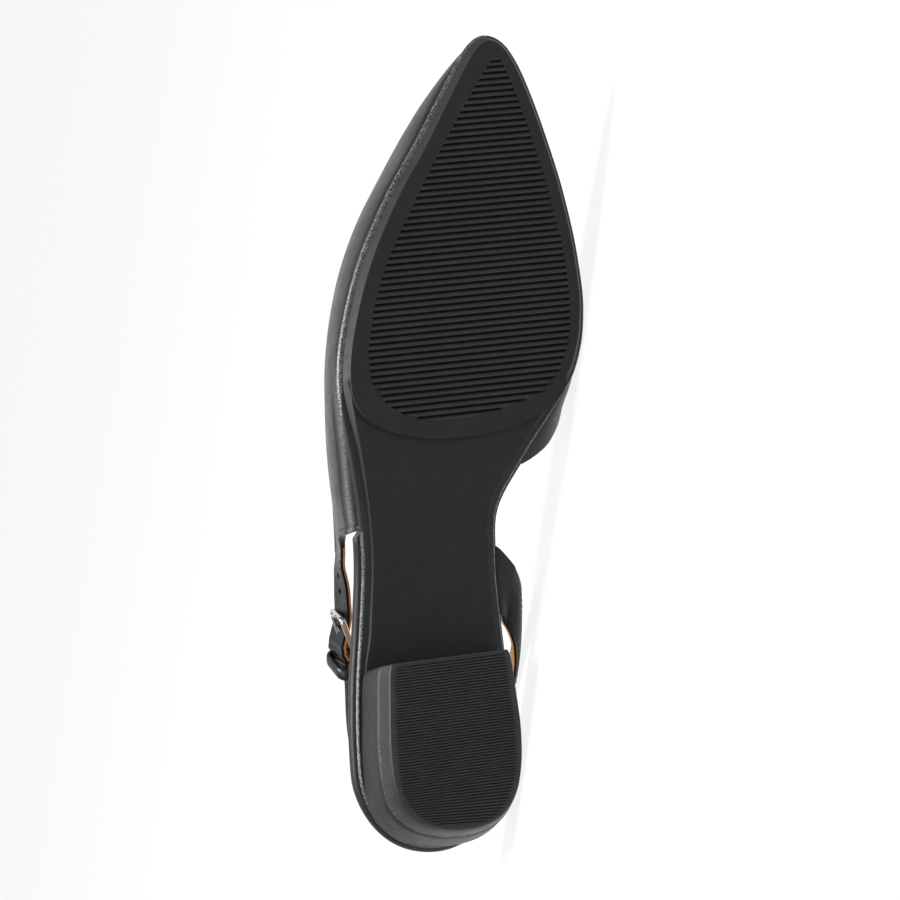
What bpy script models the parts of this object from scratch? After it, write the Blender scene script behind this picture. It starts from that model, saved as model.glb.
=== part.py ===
"""Low heel slingback with a pointed toe, a right shoe lying on its inner side. Metres, +Z up.

The shoe is drawn upright in millimetres: X runs from the back of the heel to the toe, Y towards the inner
side of the foot and Z up from the ground the heel stands on. Every piece hangs from one empty, which lays
the shoe down on the flat of its inner side and puts the middle of its footprint at the origin.
"""
import math

import bmesh
import bpy
import numpy as np
from mathutils import Matrix, Vector

MM = 0.001
GAP = 0.3

# Numbers of rows and columns of the faceted surfaces.
ROWS_BEHIND_PAD = 34
ROWS_OF_PAD = 32
VAMP_COLUMNS = 54
VAMP_ROWS = 13
STRAP_ROW = 8

# Leather walls and small fittings.
UPPER_WALL = 1.6
SLING_WALL = 1.4
FEATHER_INSET = 0.9
WIRE = 0.95
PRONG_WIRE = 0.55
LIFT_HEIGHT = 7.3

# Plan of the sole at its bead: station, outer edge of the shoe, inner edge of the shoe.
SOLE_PLAN = (
    (1.2, -2.6, -2.6),
    (3.5, -13.2, 7.4),
    (7.5, -18.8, 13.4),
    (13.5, -23.0, 18.8),
    (22.5, -25.9, 23.2),
    (35.0, -26.3, 25.0),
    (55.0, -25.0, 25.4),
    (75.0, -22.9, 24.0),
    (95.0, -22.1, 22.5),
    (110.0, -23.5, 23.1),
    (125.0, -25.9, 31.9),
    (140.0, -28.2, 43.0),
    (150.0, -28.9, 50.2),
    (160.0, -27.9, 54.2),
    (172.0, -25.0, 56.3),
    (190.0, -18.8, 55.8),
    (210.0, -8.6, 53.1),
    (230.0, 4.4, 49.0),
    (245.0, 13.7, 45.5),
    (256.0, 20.8, 42.2),
    (263.0, 26.2, 38.4),
    (266.0, 32.3, 32.3),
)

# Underside of the waist and heel seat, underside of the tread pad, top of the outsole: station, height.
SHANK = ((0.0, 20.9), (30.0, 20.0), (62.0, 18.9), (70.0, 18.0), (80.0, 16.3), (90.0, 14.0), (100.0, 11.0),
         (110.0, 7.8), (120.0, 4.8), (131.0, 2.2), (140.0, 1.4), (152.0, 1.2))
PAD = ((125.0, 0.6), (140.0, 0.0), (150.0, 0.0), (175.0, 0.0), (200.0, 0.0), (215.0, 0.5), (230.0, 1.7),
       (245.0, 3.8), (256.0, 5.8), (266.0, 7.8))
SEAT = ((0.0, 22.9), (30.0, 22.0), (62.0, 21.0), (70.0, 20.2), (80.0, 18.5), (90.0, 16.2), (100.0, 13.4),
        (110.0, 10.3), (120.0, 7.6), (131.0, 5.6), (140.0, 5.0), (175.0, 5.0), (200.0, 5.0), (215.0, 5.4),
        (230.0, 6.5), (245.0, 8.5), (256.0, 10.4), (266.0, 12.3))

# Edge of the outsole from its underside up: inset at forefoot, waist and heel, then the height as a rise
# over the underside (first two rows) or a drop under the top (the others) at forefoot, waist and heel.
SOLE_EDGE = (
    (2.9, 2.9, 1.9, 0.0, 0.0, 0.0),
    (2.5, 2.7, 1.8, 0.4, 0.25, 0.15),
    (1.0, 2.4, 1.75, 1.5, 1.3, 1.3),
    (1.5, 2.3, 1.7, 1.3, 1.15, 1.15),
    (0.3, 0.3, 0.3, 1.05, 1.0, 1.0),
    (0.0, 0.0, 0.0, 0.6, 0.6, 0.6),
    (0.3, 0.3, 0.3, 0.12, 0.12, 0.12),
    (0.7, 0.7, 0.7, 0.0, 0.0, 0.0),
)
RISING_ROWS = 2

# Back edge of the tread pad: where it meets the outer and inner edges, how far it bows back, and the
# power that moves the deepest point of the bow towards the outer side.
PAD_BACK_OUTER = 150.8
PAD_BACK_INNER = 149.8
PAD_BOW = 19.2
PAD_SKEW = 0.78
PAD_BOW_REACH = 30.0
PAD_SHARES = (0.03, 0.11, 0.28, 0.5, 0.72, 0.89, 0.97)

# Sunk field of the tread: station, outer edge, inner edge; and how deep it lies.
FIELD_PLAN = (
    (136.8, 5.0, 5.0),
    (138.4, -6.0, 15.5),
    (142.0, -13.4, 30.0),
    (146.0, -17.0, 38.3),
    (151.0, -19.0, 43.8),
    (158.0, -19.5, 47.6),
    (167.0, -18.0, 49.7),
    (186.5, -11.8, 49.9),
    (204.5, -2.3, 47.8),
    (226.0, 10.8, 43.4),
    (244.5, 23.2, 38.9),
    (253.0, 29.3, 36.6),
    (257.5, 34.0, 34.0),
)
FIELD_DEPTH = 0.9

# Plan of the heel at its foot: distance from its back, half width. Flare is what its top adds.
HEEL_PLAN = ((0.0, 0.0), (1.6, 9.6), (3.2, 12.9), (6.5, 16.7), (12.0, 19.9), (18.0, 21.2), (28.0, 21.8),
             (42.0, 21.1), (53.6, 20.0), (55.2, 19.0))
HEEL_BACK = 5.7
HEEL_BREAST = 60.9
BREAST_SLANT = math.radians(4.1)
HEEL_FLARE = 1.18
HEEL_LEAN = 4.2
HEEL_TOP = 20.0
HEEL_SWING = 0.7

# Insole: thickness at forefoot and heel, how far its wrapped edge stands past the bead where it is bare,
# and the stretches where the leather covers it.
INSOLE_FORE = 2.4
INSOLE_HEEL = 4.8
WRAP_OUT = 1.5
COVERED_IN = 3.0
OUTER_COVER = (101.0, 300.0)
INNER_COVERS = ((71.5, 100.0), (121.5, 300.0))

# Sections of the upper from its lasted edge to its topline, outer back edge round the toe to inner end:
# station, side (-1 outer, 0 toe, 1 inner), flare and rise of the wall, topline point, lean of the topline.
UPPER = (
    (104.3, -1, 3.2, 14.0, 104.6, -20.4, 49.6, 0.8, -1.8, -9.0),
    (114.0, -1, 4.5, 15.0, 117.0, -20.5, 48.6, 0.0, -5.0, -12.0),
    (128.0, -1, 4.2, 15.0, 133.0, -20.4, 47.6, -1.0, -7.0, -13.0),
    (150.0, -1, 2.6, 15.0, 155.0, -16.5, 47.2, -1.0, -10.0, -11.0),
    (178.0, -1, 4.0, 16.0, 174.0, -9.0, 46.4, 2.0, -15.0, -8.0),
    (215.0, -1, 6.0, 17.0, 188.0, 0.5, 45.0, 12.0, -19.0, -6.0),
    (248.0, -1, 5.0, 15.0, 194.5, 9.0, 43.7, 33.0, -12.0, -7.0),
    (266.0, 0, 0.8, 11.0, 196.0, 17.0, 43.2, 42.0, 8.0, -9.0),
    (252.0, 1, 2.0, 13.0, 195.0, 25.0, 43.2, 31.0, 15.0, -8.0),
    (222.0, 1, 3.0, 15.0, 189.5, 33.5, 42.7, 14.0, 14.0, -6.0),
    (190.0, 1, 3.4, 15.0, 178.0, 42.0, 40.0, 3.0, 12.0, -6.0),
    (165.0, 1, 3.6, 12.0, 162.0, 49.5, 33.5, 0.0, 6.5, -7.0),
    (146.0, 1, 6.0, 8.0, 147.5, 51.0, 25.5, -1.0, 2.5, -6.0),
    (134.0, 1, 7.0, 6.0, 135.0, 47.2, 18.4, 0.0, 1.5, -4.0),
    (128.5, 1, 6.4, 4.6, 129.0, 42.0, 14.2, 0.0, 1.0, -3.0),
    (122.9, 1, 2.2, 1.2, 123.1, 32.3, 9.3, 0.0, 0.3, -0.9),
)

# Buckle: its middle, the way the strap runs through it, the strap's width direction, how far the frame
# turns out of the strap, distance from its middle to its bars, half its span.
BUCKLE_AT = (75.7, -19.8, 51.6)
BUCKLE_RUN = (-0.945, 0.05, 0.31)
BUCKLE_UP = (0.30, 0.05, 0.94)
BUCKLE_TILT = math.radians(18.0)
BAR_REACH = 5.5
FRAME_HALF = 7.2
STRAP_WIDTH = 10.8
STRAP_FILLET = 0.6

# Keeper: its place along the strap, how far it slants, its inner and outer sides over the sling line.
KEEPER_AT = 12.8
KEEPER_SLANT = 1.0
KEEPER_LOW = -4.2
KEEPER_HIGH = 2.9

# The front strap's height over the sling line on its way through the buckle: place along the line, height.
STRAP_WAVE = ((-40.0, 0.0), (-16.0, 0.0), (-11.0, -0.2), (-5.2, -0.4), (-2.0, 0.2), (2.0, 1.4), (4.6, 2.05),
              (6.0, 2.1), (7.4, 1.8), (9.0, 1.2), (10.8, 0.85), (14.0, 0.75))
STRAP_PLACES = (14.0, 12.4, 10.8, 9.4, 7.8, 6.3, 4.6, 2.8, 0.7, -1.4, -4.0, -6.4, -9.0, -12.0, -15.5,
                -19.5, -23.5, -27.5)
SLOT = (-1.4, 5.6)

# Strap between the quarter and the buckle: middle of the strap and its lower-to-upper edge vector.
FRONT_STRAP = (
    (97.5, -20.9, 45.0, 0.9, 0.75, 11.0),
    (90.0, -20.3, 47.0, 2.3, -0.6, 10.5),
)

# Back strap behind the buckle: middle of the strap and its lower-to-upper edge vector.
SLING = (
    (61.5, -18.9, 56.2, 3.0, -1.6, 10.2),
    (55.9, -18.2, 58.1, 2.9, -1.0, 10.3),
    (40.0, -16.0, 60.8, 2.6, -0.3, 10.2),
    (27.0, -12.8, 62.8, 1.6, 0.3, 10.3),
    (17.0, -6.8, 63.5, 1.0, 0.3, 10.3),
    (12.8, 1.0, 63.0, 1.0, 0.0, 10.3),
    (16.5, 9.3, 61.5, 1.3, -0.2, 10.3),
    (27.0, 18.6, 57.8, 3.0, 0.2, 10.6),
    (41.5, 27.6, 51.8, 5.0, 1.4, 10.6),
    (55.0, 33.8, 44.8, 7.5, 2.6, 10.2),
    (67.0, 34.8, 37.5, 12.5, 4.4, 8.6),
    (77.3, 33.2, 30.0, 18.0, 6.2, 6.0),
    (82.6, 29.4, 25.1, 19.6, 4.4, 0.9),
)
TAB_ROOT = (75.0, 97.0)

# Colour, roughness, metallic value and weight for its size of each piece, in g per cubic centimetre.
FINISH = {
    "outsole": ((0.020, 0.020, 0.021), 0.62, 0.0, 1.10),
    "heel_block": ((0.017, 0.017, 0.018), 0.45, 0.0, 1.05),
    "top_lift": ((0.016, 0.016, 0.017), 0.40, 0.0, 1.15),
    "insole": ((0.018, 0.017, 0.017), 0.42, 0.0, 0.75),
    "upper": ((0.014, 0.014, 0.015), 0.38, 0.0, 0.95),
    "back_strap": ((0.014, 0.014, 0.015), 0.38, 0.0, 0.95),
    "buckle_frame": ((0.72, 0.72, 0.71), 0.12, 1.0, 7.2),
    "buckle_prong": ((0.72, 0.72, 0.71), 0.12, 1.0, 7.2),
    "strap_keeper": ((0.014, 0.014, 0.015), 0.38, 0.0, 0.95),
}


def through(knots, values, at):
    """Smooth curve through table rows: cubic pieces whose slopes blend the chords on both sides."""
    knots = np.asarray(knots, float)
    values = np.asarray(values, float)
    at = np.asarray(at, float)
    step = np.diff(knots)
    chord = np.diff(values) / step
    slope = np.empty_like(values)
    slope[1:-1] = (chord[:-1] * step[1:] + chord[1:] * step[:-1]) / (step[1:] + step[:-1])
    slope[0] = 1.5 * chord[0] - 0.5 * slope[1]
    slope[-1] = 1.5 * chord[-1] - 0.5 * slope[-2]
    k = np.clip(np.searchsorted(knots, at, side="right") - 1, 0, len(step) - 1)
    t = np.clip((at - knots[k]) / step[k], 0.0, 1.0)
    low = (1 + 2 * t) * (1 - t) ** 2 * values[k] + t * (1 - t) ** 2 * step[k] * slope[k]
    high = t * t * (3 - 2 * t) * values[k + 1] + t * t * (t - 1) * step[k] * slope[k + 1]
    return low + high


def height(table, x):
    """Height at a station, from a table of station and height."""
    rows = np.asarray(table)
    return through(rows[:, 0], rows[:, 1], x)


def ease(x, low, high):
    """Soft step from 0 at low to 1 at high."""
    t = np.clip((np.asarray(x, float) - low) / (high - low), 0.0, 1.0)
    return t * t * (3 - 2 * t)


def half_turn(table, x):
    """Half turn round a plan that reaches a station: 0 at its back, pi at its front."""
    first, last = table[0][0], table[-1][0]
    return np.arccos(np.clip(1 - 2 * (np.asarray(x, float) - first) / (last - first), -1, 1))


def plan(table, turn, out=0.0):
    """Point of a plan at a turn round it, outer side first, moved outwards square to the edge."""
    rows = np.asarray(table)
    knots = half_turn(table, rows[:, 0])

    def bare(at):
        at = np.mod(at, 2 * np.pi)
        half = np.where(at <= np.pi, at, 2 * np.pi - at)
        x = rows[0, 0] + (rows[-1, 0] - rows[0, 0]) * (1 - np.cos(half)) / 2
        side = np.where(at <= np.pi, through(knots, rows[:, 1], half), through(knots, rows[:, 2], half))
        return np.stack([x, side], -1)

    turn = np.asarray(turn, float)
    run = bare(turn + 1e-3) - bare(turn - 1e-3)
    across = np.stack([run[..., 1], -run[..., 0]], -1)
    across /= np.linalg.norm(across, axis=-1, keepdims=True)
    return bare(turn) + across * np.broadcast_to(out, turn.shape)[..., None]


def bottom(x, on_pad):
    """Underside of the outsole on the tread pad or behind it."""
    return np.where(on_pad, height(PAD, x), height(SHANK, x))


def ring_turns():
    """Turns of the rows round the sole, with two close rows where the pad's back edge meets each side."""
    sides = []
    for station in (PAD_BACK_OUTER, PAD_BACK_INNER):
        at = float(half_turn(SOLE_PLAN, station))
        sides.append(np.concatenate([np.linspace(0.0, at - 0.0012, ROWS_BEHIND_PAD + 1),
                                     np.linspace(at + 0.0012, np.pi, ROWS_OF_PAD + 1)]))
    outer, inner = sides
    return np.concatenate([outer, 2 * np.pi - inner[-2:0:-1]])


def pad_rows(turns):
    """Whether each point of a ring lies on the tread pad."""
    count = ROWS_BEHIND_PAD + ROWS_OF_PAD + 2
    on = np.arange(count) > ROWS_BEHIND_PAD
    return np.concatenate([on, on[-2:0:-1]])


def material(name):
    colour, rough, metal, _ = FINISH[name]
    made = bpy.data.materials.new(name)
    made.use_nodes = True
    shader = made.node_tree.nodes["Principled BSDF"]
    shader.inputs["Base Color"].default_value = (*colour, 1.0)
    shader.inputs["Roughness"].default_value = rough
    shader.inputs["Metallic"].default_value = metal
    return made


def add_piece(name, points, faces, sharp=40.0):
    """Makes one closed piece from points in millimetres and its faces, turned outwards."""
    mesh = bpy.data.meshes.new(name)
    mesh.from_pydata((np.asarray(points, float) * MM).tolist(), [], faces)
    shape = bmesh.new()
    shape.from_mesh(mesh)
    bmesh.ops.recalc_face_normals(shape, faces=shape.faces)
    shape.to_mesh(mesh)
    shape.free()
    mesh.shade_smooth()
    mesh.set_sharp_from_angle(angle=math.radians(sharp))
    piece = bpy.data.objects.new(name, mesh)
    bpy.context.scene.collection.objects.link(piece)
    if name in FINISH:
        mesh.materials.append(material(name))
    return piece


def close_ring(points, faces, start, count, rows, middle):
    """Closes a ring with rows from its outer to its inner side; middle gives the points inside a row."""
    lines = []
    for k in range(rows + 1):
        left, right = start + k, start + (count - k) % count
        if left == right:
            lines.append([left])
            continue
        inside = middle(k, np.array(points[left]), np.array(points[right]))
        lines.append([left, *range(len(points), len(points) + len(inside)), right])
        points.extend(inside)
    for low, high in zip(lines, lines[1:]):
        if len(low) == 1:
            faces.extend((low[0], a, b) for a, b in zip(high, high[1:]))
        elif len(high) == 1:
            faces.extend((high[0], a, b) for a, b in zip(low, low[1:]))
        else:
            faces.extend((low[j], low[j + 1], high[j + 1], high[j]) for j in range(len(low) - 1))


def stack_rings(name, rings, rows, under, over, sharp=40.0):
    """Joins rings from the lowest up and closes the first and the last one."""
    count = len(rings[0])
    points = [tuple(p) for ring in rings for p in ring]
    faces = []
    for k in range(len(rings) - 1):
        for j in range(count):
            n = (j + 1) % count
            faces.append((k * count + j, k * count + n, (k + 1) * count + n, (k + 1) * count + j))
    close_ring(points, faces, 0, count, rows, under)
    close_ring(points, faces, (len(rings) - 1) * count, count, rows, over)
    return add_piece(name, points, faces, sharp)


def blend_rows(shares, lift):
    """Points inside a row at shares of its width, at the height that lift gives."""
    def middle(_, left, right):
        if not shares:
            return []
        line = left + (right - left) * np.asarray(shares)[:, None]
        line[:, 2] = lift(line[:, 0], np.asarray(shares), line[:, 2])
        return [tuple(p) for p in line]
    return middle


def normals(grid):
    """Unit normals of a grid of points, from the differences along its two directions."""
    along = np.gradient(grid, axis=0)
    across = np.gradient(grid, axis=1)
    face = np.cross(along, across)
    return face / np.linalg.norm(face, axis=-1, keepdims=True)


def shell(name, outer, inner, cells, sharp=40.0):
    """Closed wall between two grids of points over the chosen cells, with a rim along every free edge."""
    wide = outer.shape[1]
    count = outer.shape[0] * wide
    points = np.concatenate([outer.reshape(-1, 3), inner.reshape(-1, 3)])
    faces = []
    for i, j in zip(*np.nonzero(cells)):
        a, b, c, d = i * wide + j, (i + 1) * wide + j, (i + 1) * wide + j + 1, i * wide + j + 1
        faces.append((a, b, c, d))
        faces.append((a + count, d + count, c + count, b + count))
        for p, q, ni, nj in ((a, b, i, j - 1), (b, c, i + 1, j), (c, d, i, j + 1), (d, a, i - 1, j)):
            inside = 0 <= ni < cells.shape[0] and 0 <= nj < cells.shape[1] and cells[ni, nj]
            if not inside:
                faces.append((q, p, p + count, q + count))
    used = sorted({k for face in faces for k in face})
    place = {k: n for n, k in enumerate(used)}
    return add_piece(name, points[used], [tuple(place[k] for k in face) for face in faces], sharp)


def loop_tube(name, path, profile, closed, sharp=40.0):
    """Tube of a profile of side and up offsets along a path of points with side and up directions."""
    rings = [at + np.outer(profile[:, 0], side) + np.outer(profile[:, 1], up) for at, side, up in path]
    count = len(profile)
    faces = []
    for k in range(len(rings) if closed else len(rings) - 1):
        for j in range(count):
            n = (j + 1) % count
            m = (k + 1) % len(rings)
            faces.append((k * count + j, k * count + n, m * count + n, m * count + j))
    if not closed:
        faces.append(tuple(range(count)))
        faces.append(tuple((len(rings) - 1) * count + j for j in range(count)))
    return add_piece(name, np.concatenate(rings), faces, sharp)


def circle(radius, count):
    angle = np.arange(count) * 2 * np.pi / count
    return radius * np.stack([np.cos(angle), np.sin(angle)], 1)


def make_outsole():
    """Moulded sole: bevelled edge, bead, stepped tread pad with its sunk field, thin waist and heel seat."""
    turns = ring_turns()
    on = pad_rows(turns)
    station = plan(SOLE_PLAN, turns)[:, 0]
    fore = ease(station, 126.0, 152.0)
    back = 1 - ease(station, 58.0, 72.0)
    mix = np.stack([fore, 1 - fore - back, back], 1)
    rings = []
    for k, row in enumerate(SOLE_EDGE):
        spot = plan(SOLE_PLAN, turns, -(mix @ np.array(row[:3])))
        shift = mix @ np.array(row[3:])
        if k < RISING_ROWS:
            level = bottom(spot[:, 0], on) + shift
        else:
            level = height(SEAT, spot[:, 0]) - shift
        rings.append(np.column_stack([spot, level]))
    rows = ROWS_BEHIND_PAD + ROWS_OF_PAD + 1
    pad_at = (PAD_BACK_OUTER + PAD_BACK_INNER) / 2
    shares = np.array(PAD_SHARES)

    def under(k, left, right):
        line = left + (right - left) * shares[:, None]
        bow = PAD_BOW * np.exp(-(((left[0] + right[0]) / 2 - pad_at) / PAD_BOW_REACH) ** 2)
        skewed = shares ** PAD_SKEW
        line[:, 0] -= bow * np.sqrt(4 * skewed * (1 - skewed))
        line[:, 2] = bottom(line[:, 0], k > ROWS_BEHIND_PAD)
        return [tuple(p) for p in line]

    over = blend_rows((0.5,), lambda x, s, z: height(SEAT, x))
    sole = stack_rings("outsole", rings, rows, under, over, 30.0)

    half = np.linspace(0.0, np.pi, 33)
    field = plan(FIELD_PLAN, np.concatenate([half, 2 * np.pi - half[-2:0:-1]]))
    low = np.column_stack([field, np.full(len(field), -4.0)])
    high = np.column_stack([field, height(PAD, field[:, 0]) + FIELD_DEPTH])
    cutter = stack_rings("field_cutter", [low, high], 32, blend_rows((0.5,), lambda x, s, z: z),
                         blend_rows((0.3, 0.7), lambda x, s, z: height(PAD, x) + FIELD_DEPTH))
    cut = sole.modifiers.new("field", "BOOLEAN")
    cut.operation = "DIFFERENCE"
    cut.solver = "EXACT"
    cut.object = cutter
    cutter.hide_render = True
    cutter.display_type = "WIRE"
    return sole, cutter


def heel_ring(level):
    """Plan of the heel at a height, its front edge slanted along the breast."""
    share = (level / HEEL_TOP) ** 0.75
    rows = np.array(HEEL_PLAN)
    half = np.concatenate([np.linspace(0.0, 1.9, 15), (2.15, 2.5, 2.85, np.pi)])
    reach = rows[-1, 0]
    from_back = reach * (1 - np.cos(half)) / 2
    knots = np.arccos(1 - 2 * rows[:, 0] / reach)
    wide = through(knots, rows[:, 1], half) * (1 + (HEEL_FLARE - 1) * share)
    back = HEEL_BACK - HEEL_LEAN * share
    x = back + (HEEL_BREAST - back) * from_back / reach
    slant = math.tan(BREAST_SLANT) * from_back / reach
    swing = HEEL_SWING * (1 - ease(x, 0.0, 40.0))
    outer = np.stack([x - wide * slant, -wide - swing], 1)
    inner = np.stack([x + wide * slant, wide - swing], 1)
    return np.concatenate([outer, inner[:0:-1]]), len(half) - 1


def make_heel():
    """Heel block under the seat and the thick lift below it, each flared upwards."""
    made = []
    levels = {"top_lift": ((0.0, 0.45), (0.45, 0.0), (LIFT_HEIGHT - 0.3, 0.0), (LIFT_HEIGHT, 0.3)),
              "heel_block": ((LIFT_HEIGHT + GAP, 0.2), (LIFT_HEIGHT + 0.6, -0.15), (14.0, 0.0), (None, 0.0))}
    for name, rows in levels.items():
        rings = []
        for level, inset in rows:
            ring, count = heel_ring(HEEL_TOP if level is None else level)
            middle = np.array([32.0, 0.0])
            away = ring - middle
            ring = middle + away * (1 - inset / np.linalg.norm(away, axis=1, keepdims=True))
            z = height(SHANK, ring[:, 0]) - GAP if level is None else np.full(len(ring), level)
            rings.append(np.column_stack([ring, z]))
        made.append(stack_rings(name, rings, count, blend_rows((), None), blend_rows((), None), 30.0))
    return made


def insole_out(turns, station):
    """How far the insole's edge stands past the bead: out where it is bare, in under the leather."""
    outer = np.sin(turns) >= 0
    hidden = ease(station, OUTER_COVER[0] - 4, OUTER_COVER[0] + 1) * outer
    for low, high in INNER_COVERS:
        hidden = hidden + (ease(station, low - 3, low + 1) - ease(station, high - 1, high + 3)) * ~outer
    return WRAP_OUT * (1 - hidden) - COVERED_IN * hidden


def make_insole():
    """Insole with a wrapped, rounded edge, dished a little under the heel."""
    count = 66
    half = np.linspace(0.0, np.pi, count + 1)
    turns = np.concatenate([half, 2 * np.pi - half[-2:0:-1]])
    station = plan(SOLE_PLAN, turns)[:, 0]
    out = insole_out(turns, station)
    rings = []
    for inset, share in ((1.6, 0.0), (0.35, 0.2), (0.0, 0.5), (0.35, 0.8), (1.5, 1.0)):
        spot = plan(SOLE_PLAN, turns, out - inset)
        thick = INSOLE_FORE + (INSOLE_HEEL - INSOLE_FORE) * (1 - ease(spot[:, 0], 85.0, 135.0))
        rings.append(np.column_stack([spot, height(SEAT, spot[:, 0]) + GAP + thick * share]))

    def top(x, shares, _):
        thick = INSOLE_FORE + (INSOLE_HEEL - INSOLE_FORE) * (1 - ease(x, 85.0, 135.0))
        dish = 1.0 * (1 - ease(x, 50.0, 100.0)) * 4 * shares * (1 - shares)
        return height(SEAT, x) + GAP + thick - dish

    return stack_rings("insole", rings, count, blend_rows((0.5,), lambda x, s, z: height(SEAT, x) + GAP),
                       blend_rows((0.25, 0.5, 0.75), top), 40.0)


def buckle_axes():
    """The buckle's middle and the strap's run, width and outward directions there, square to each other."""
    run = Vector(BUCKLE_RUN).normalized()
    up = Vector(BUCKLE_UP)
    up = (up - run * up.dot(run)).normalized()
    out = run.cross(up)
    if out.y > 0:
        out = -out
    return np.array(BUCKLE_AT), np.array(run), np.array(up), np.array(out)


def sling_table(front):
    """Rows of the sling line: place along it from the buckle, middle of the strap, edge vector."""
    at, run, up, _ = buckle_axes()
    low, high = front
    rows = [(*((low + high) / 2), *(high - low)), *FRONT_STRAP]
    middle = len(rows) + 1
    rows += [(*(at + place * run), *(up * STRAP_WIDTH)) for place in (-6.5, 0.0, 6.5)]
    rows = np.array([*rows, *SLING])
    step = np.linalg.norm(np.diff(rows[:, :3], axis=0), axis=1)
    place = np.concatenate([[0.0], np.cumsum(step)])
    return np.column_stack([place - place[middle], rows])


def frame_axes():
    """The buckle's middle and its frame's own run, width and outward directions."""
    at, run, up, out = buckle_axes()
    turn = math.cos(BUCKLE_TILT), math.sin(BUCKLE_TILT)
    return at, turn[0] * run - turn[1] * out, up, turn[0] * out + turn[1] * run


def sling_point(table, place, lift, share):
    """Point of the sling at a place along it, lifted outwards, at a share of its width from its middle."""
    def at(s):
        return np.stack([through(table[:, 0], table[:, k], s) for k in range(1, 7)], -1)

    here, ahead, behind = at(place), at(place + 0.2), at(place - 0.2)
    run = ahead[..., :3] - behind[..., :3]
    out = np.cross(here[..., 3:], run)
    out /= np.linalg.norm(out, axis=-1, keepdims=True)
    return here[..., :3] + share * here[..., 3:] + lift * out


def upper_grid():
    """Outer surface of the upper: each column is an arc from the lasted edge to the topline."""
    rows = np.array(UPPER)
    half = half_turn(SOLE_PLAN, rows[:, 0])
    knots = np.where(rows[:, 1] < 0, half, np.where(rows[:, 1] > 0, 2 * np.pi - half, np.pi))
    turns = np.linspace(knots[0], knots[-1], VAMP_COLUMNS + 1)
    foot = plan(SOLE_PLAN, turns, -FEATHER_INSET)
    away = plan(SOLE_PLAN, turns, 1.0) - plan(SOLE_PLAN, turns)
    value = [through(knots, rows[:, k], turns) for k in range(rows.shape[1])]
    start = np.column_stack([foot, height(SEAT, foot[:, 0]) + GAP])
    rise = start + np.column_stack([away * value[2][:, None], value[3]])
    end = np.stack(value[4:7], 1)
    lean = end + np.stack(value[7:10], 1)
    b = np.linspace(0.0, 1.0, VAMP_ROWS + 1)[None, :, None]
    mix = ((1 - b) ** 3, 3 * b * (1 - b) ** 2, 3 * b * b * (1 - b), b ** 3)
    return sum(m * p[:, None, :] for m, p in zip(mix, (start, rise, lean, end)))


def make_upper(vamp, table):
    """Upper: vamp, outer quarter and the strap that runs from it through the buckle, one wall."""
    places = np.array(STRAP_PLACES)[:, None]
    shares = (np.arange(VAMP_ROWS + 1) - STRAP_ROW)[None, :] / (VAMP_ROWS - STRAP_ROW) - 0.5
    wave = np.array(STRAP_WAVE)
    lift = through(wave[:, 0], wave[:, 1], places)
    spread = np.broadcast_to(places, (len(STRAP_PLACES), VAMP_ROWS + 1))
    fillet = STRAP_FILLET * np.exp((table[0, 0] - places) / 4.0)
    shares = shares - fillet * np.clip(0.5 - (shares + 0.5) / 0.8, 0.0, 0.5) / 0.5
    strap = sling_point(table, spread, np.broadcast_to(lift, spread.shape)[..., None], shares[..., None])
    outer = np.concatenate([strap, vamp])
    face = normals(outer)
    columns = len(STRAP_PLACES)
    face[columns:] = normals(vamp)
    blend = normals(outer[:, STRAP_ROW:])
    face[:columns, STRAP_ROW:] = blend[:columns]
    face[:columns, :STRAP_ROW] = blend[:columns, :1]
    face[columns, STRAP_ROW:] = blend[columns]
    face[columns:, 0, 2] = 0.0
    face /= np.linalg.norm(face, axis=-1, keepdims=True)
    if face[-1, 0, 1] < 0:
        face = -face
    inner = outer - UPPER_WALL * face
    outer[:columns] += 0.5 * UPPER_WALL * face[:columns]
    inner[:columns] += 0.5 * UPPER_WALL * face[:columns]
    cells = np.ones((outer.shape[0] - 1, VAMP_ROWS), bool)
    cells[:columns, :STRAP_ROW] = False
    middle = (STRAP_ROW + VAMP_ROWS) // 2
    for k in range(columns - 1):
        if STRAP_PLACES[k] <= SLOT[1] and STRAP_PLACES[k + 1] >= SLOT[0]:
            cells[k, middle] = False
    return shell("upper", outer, inner, cells, 35.0)


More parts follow.
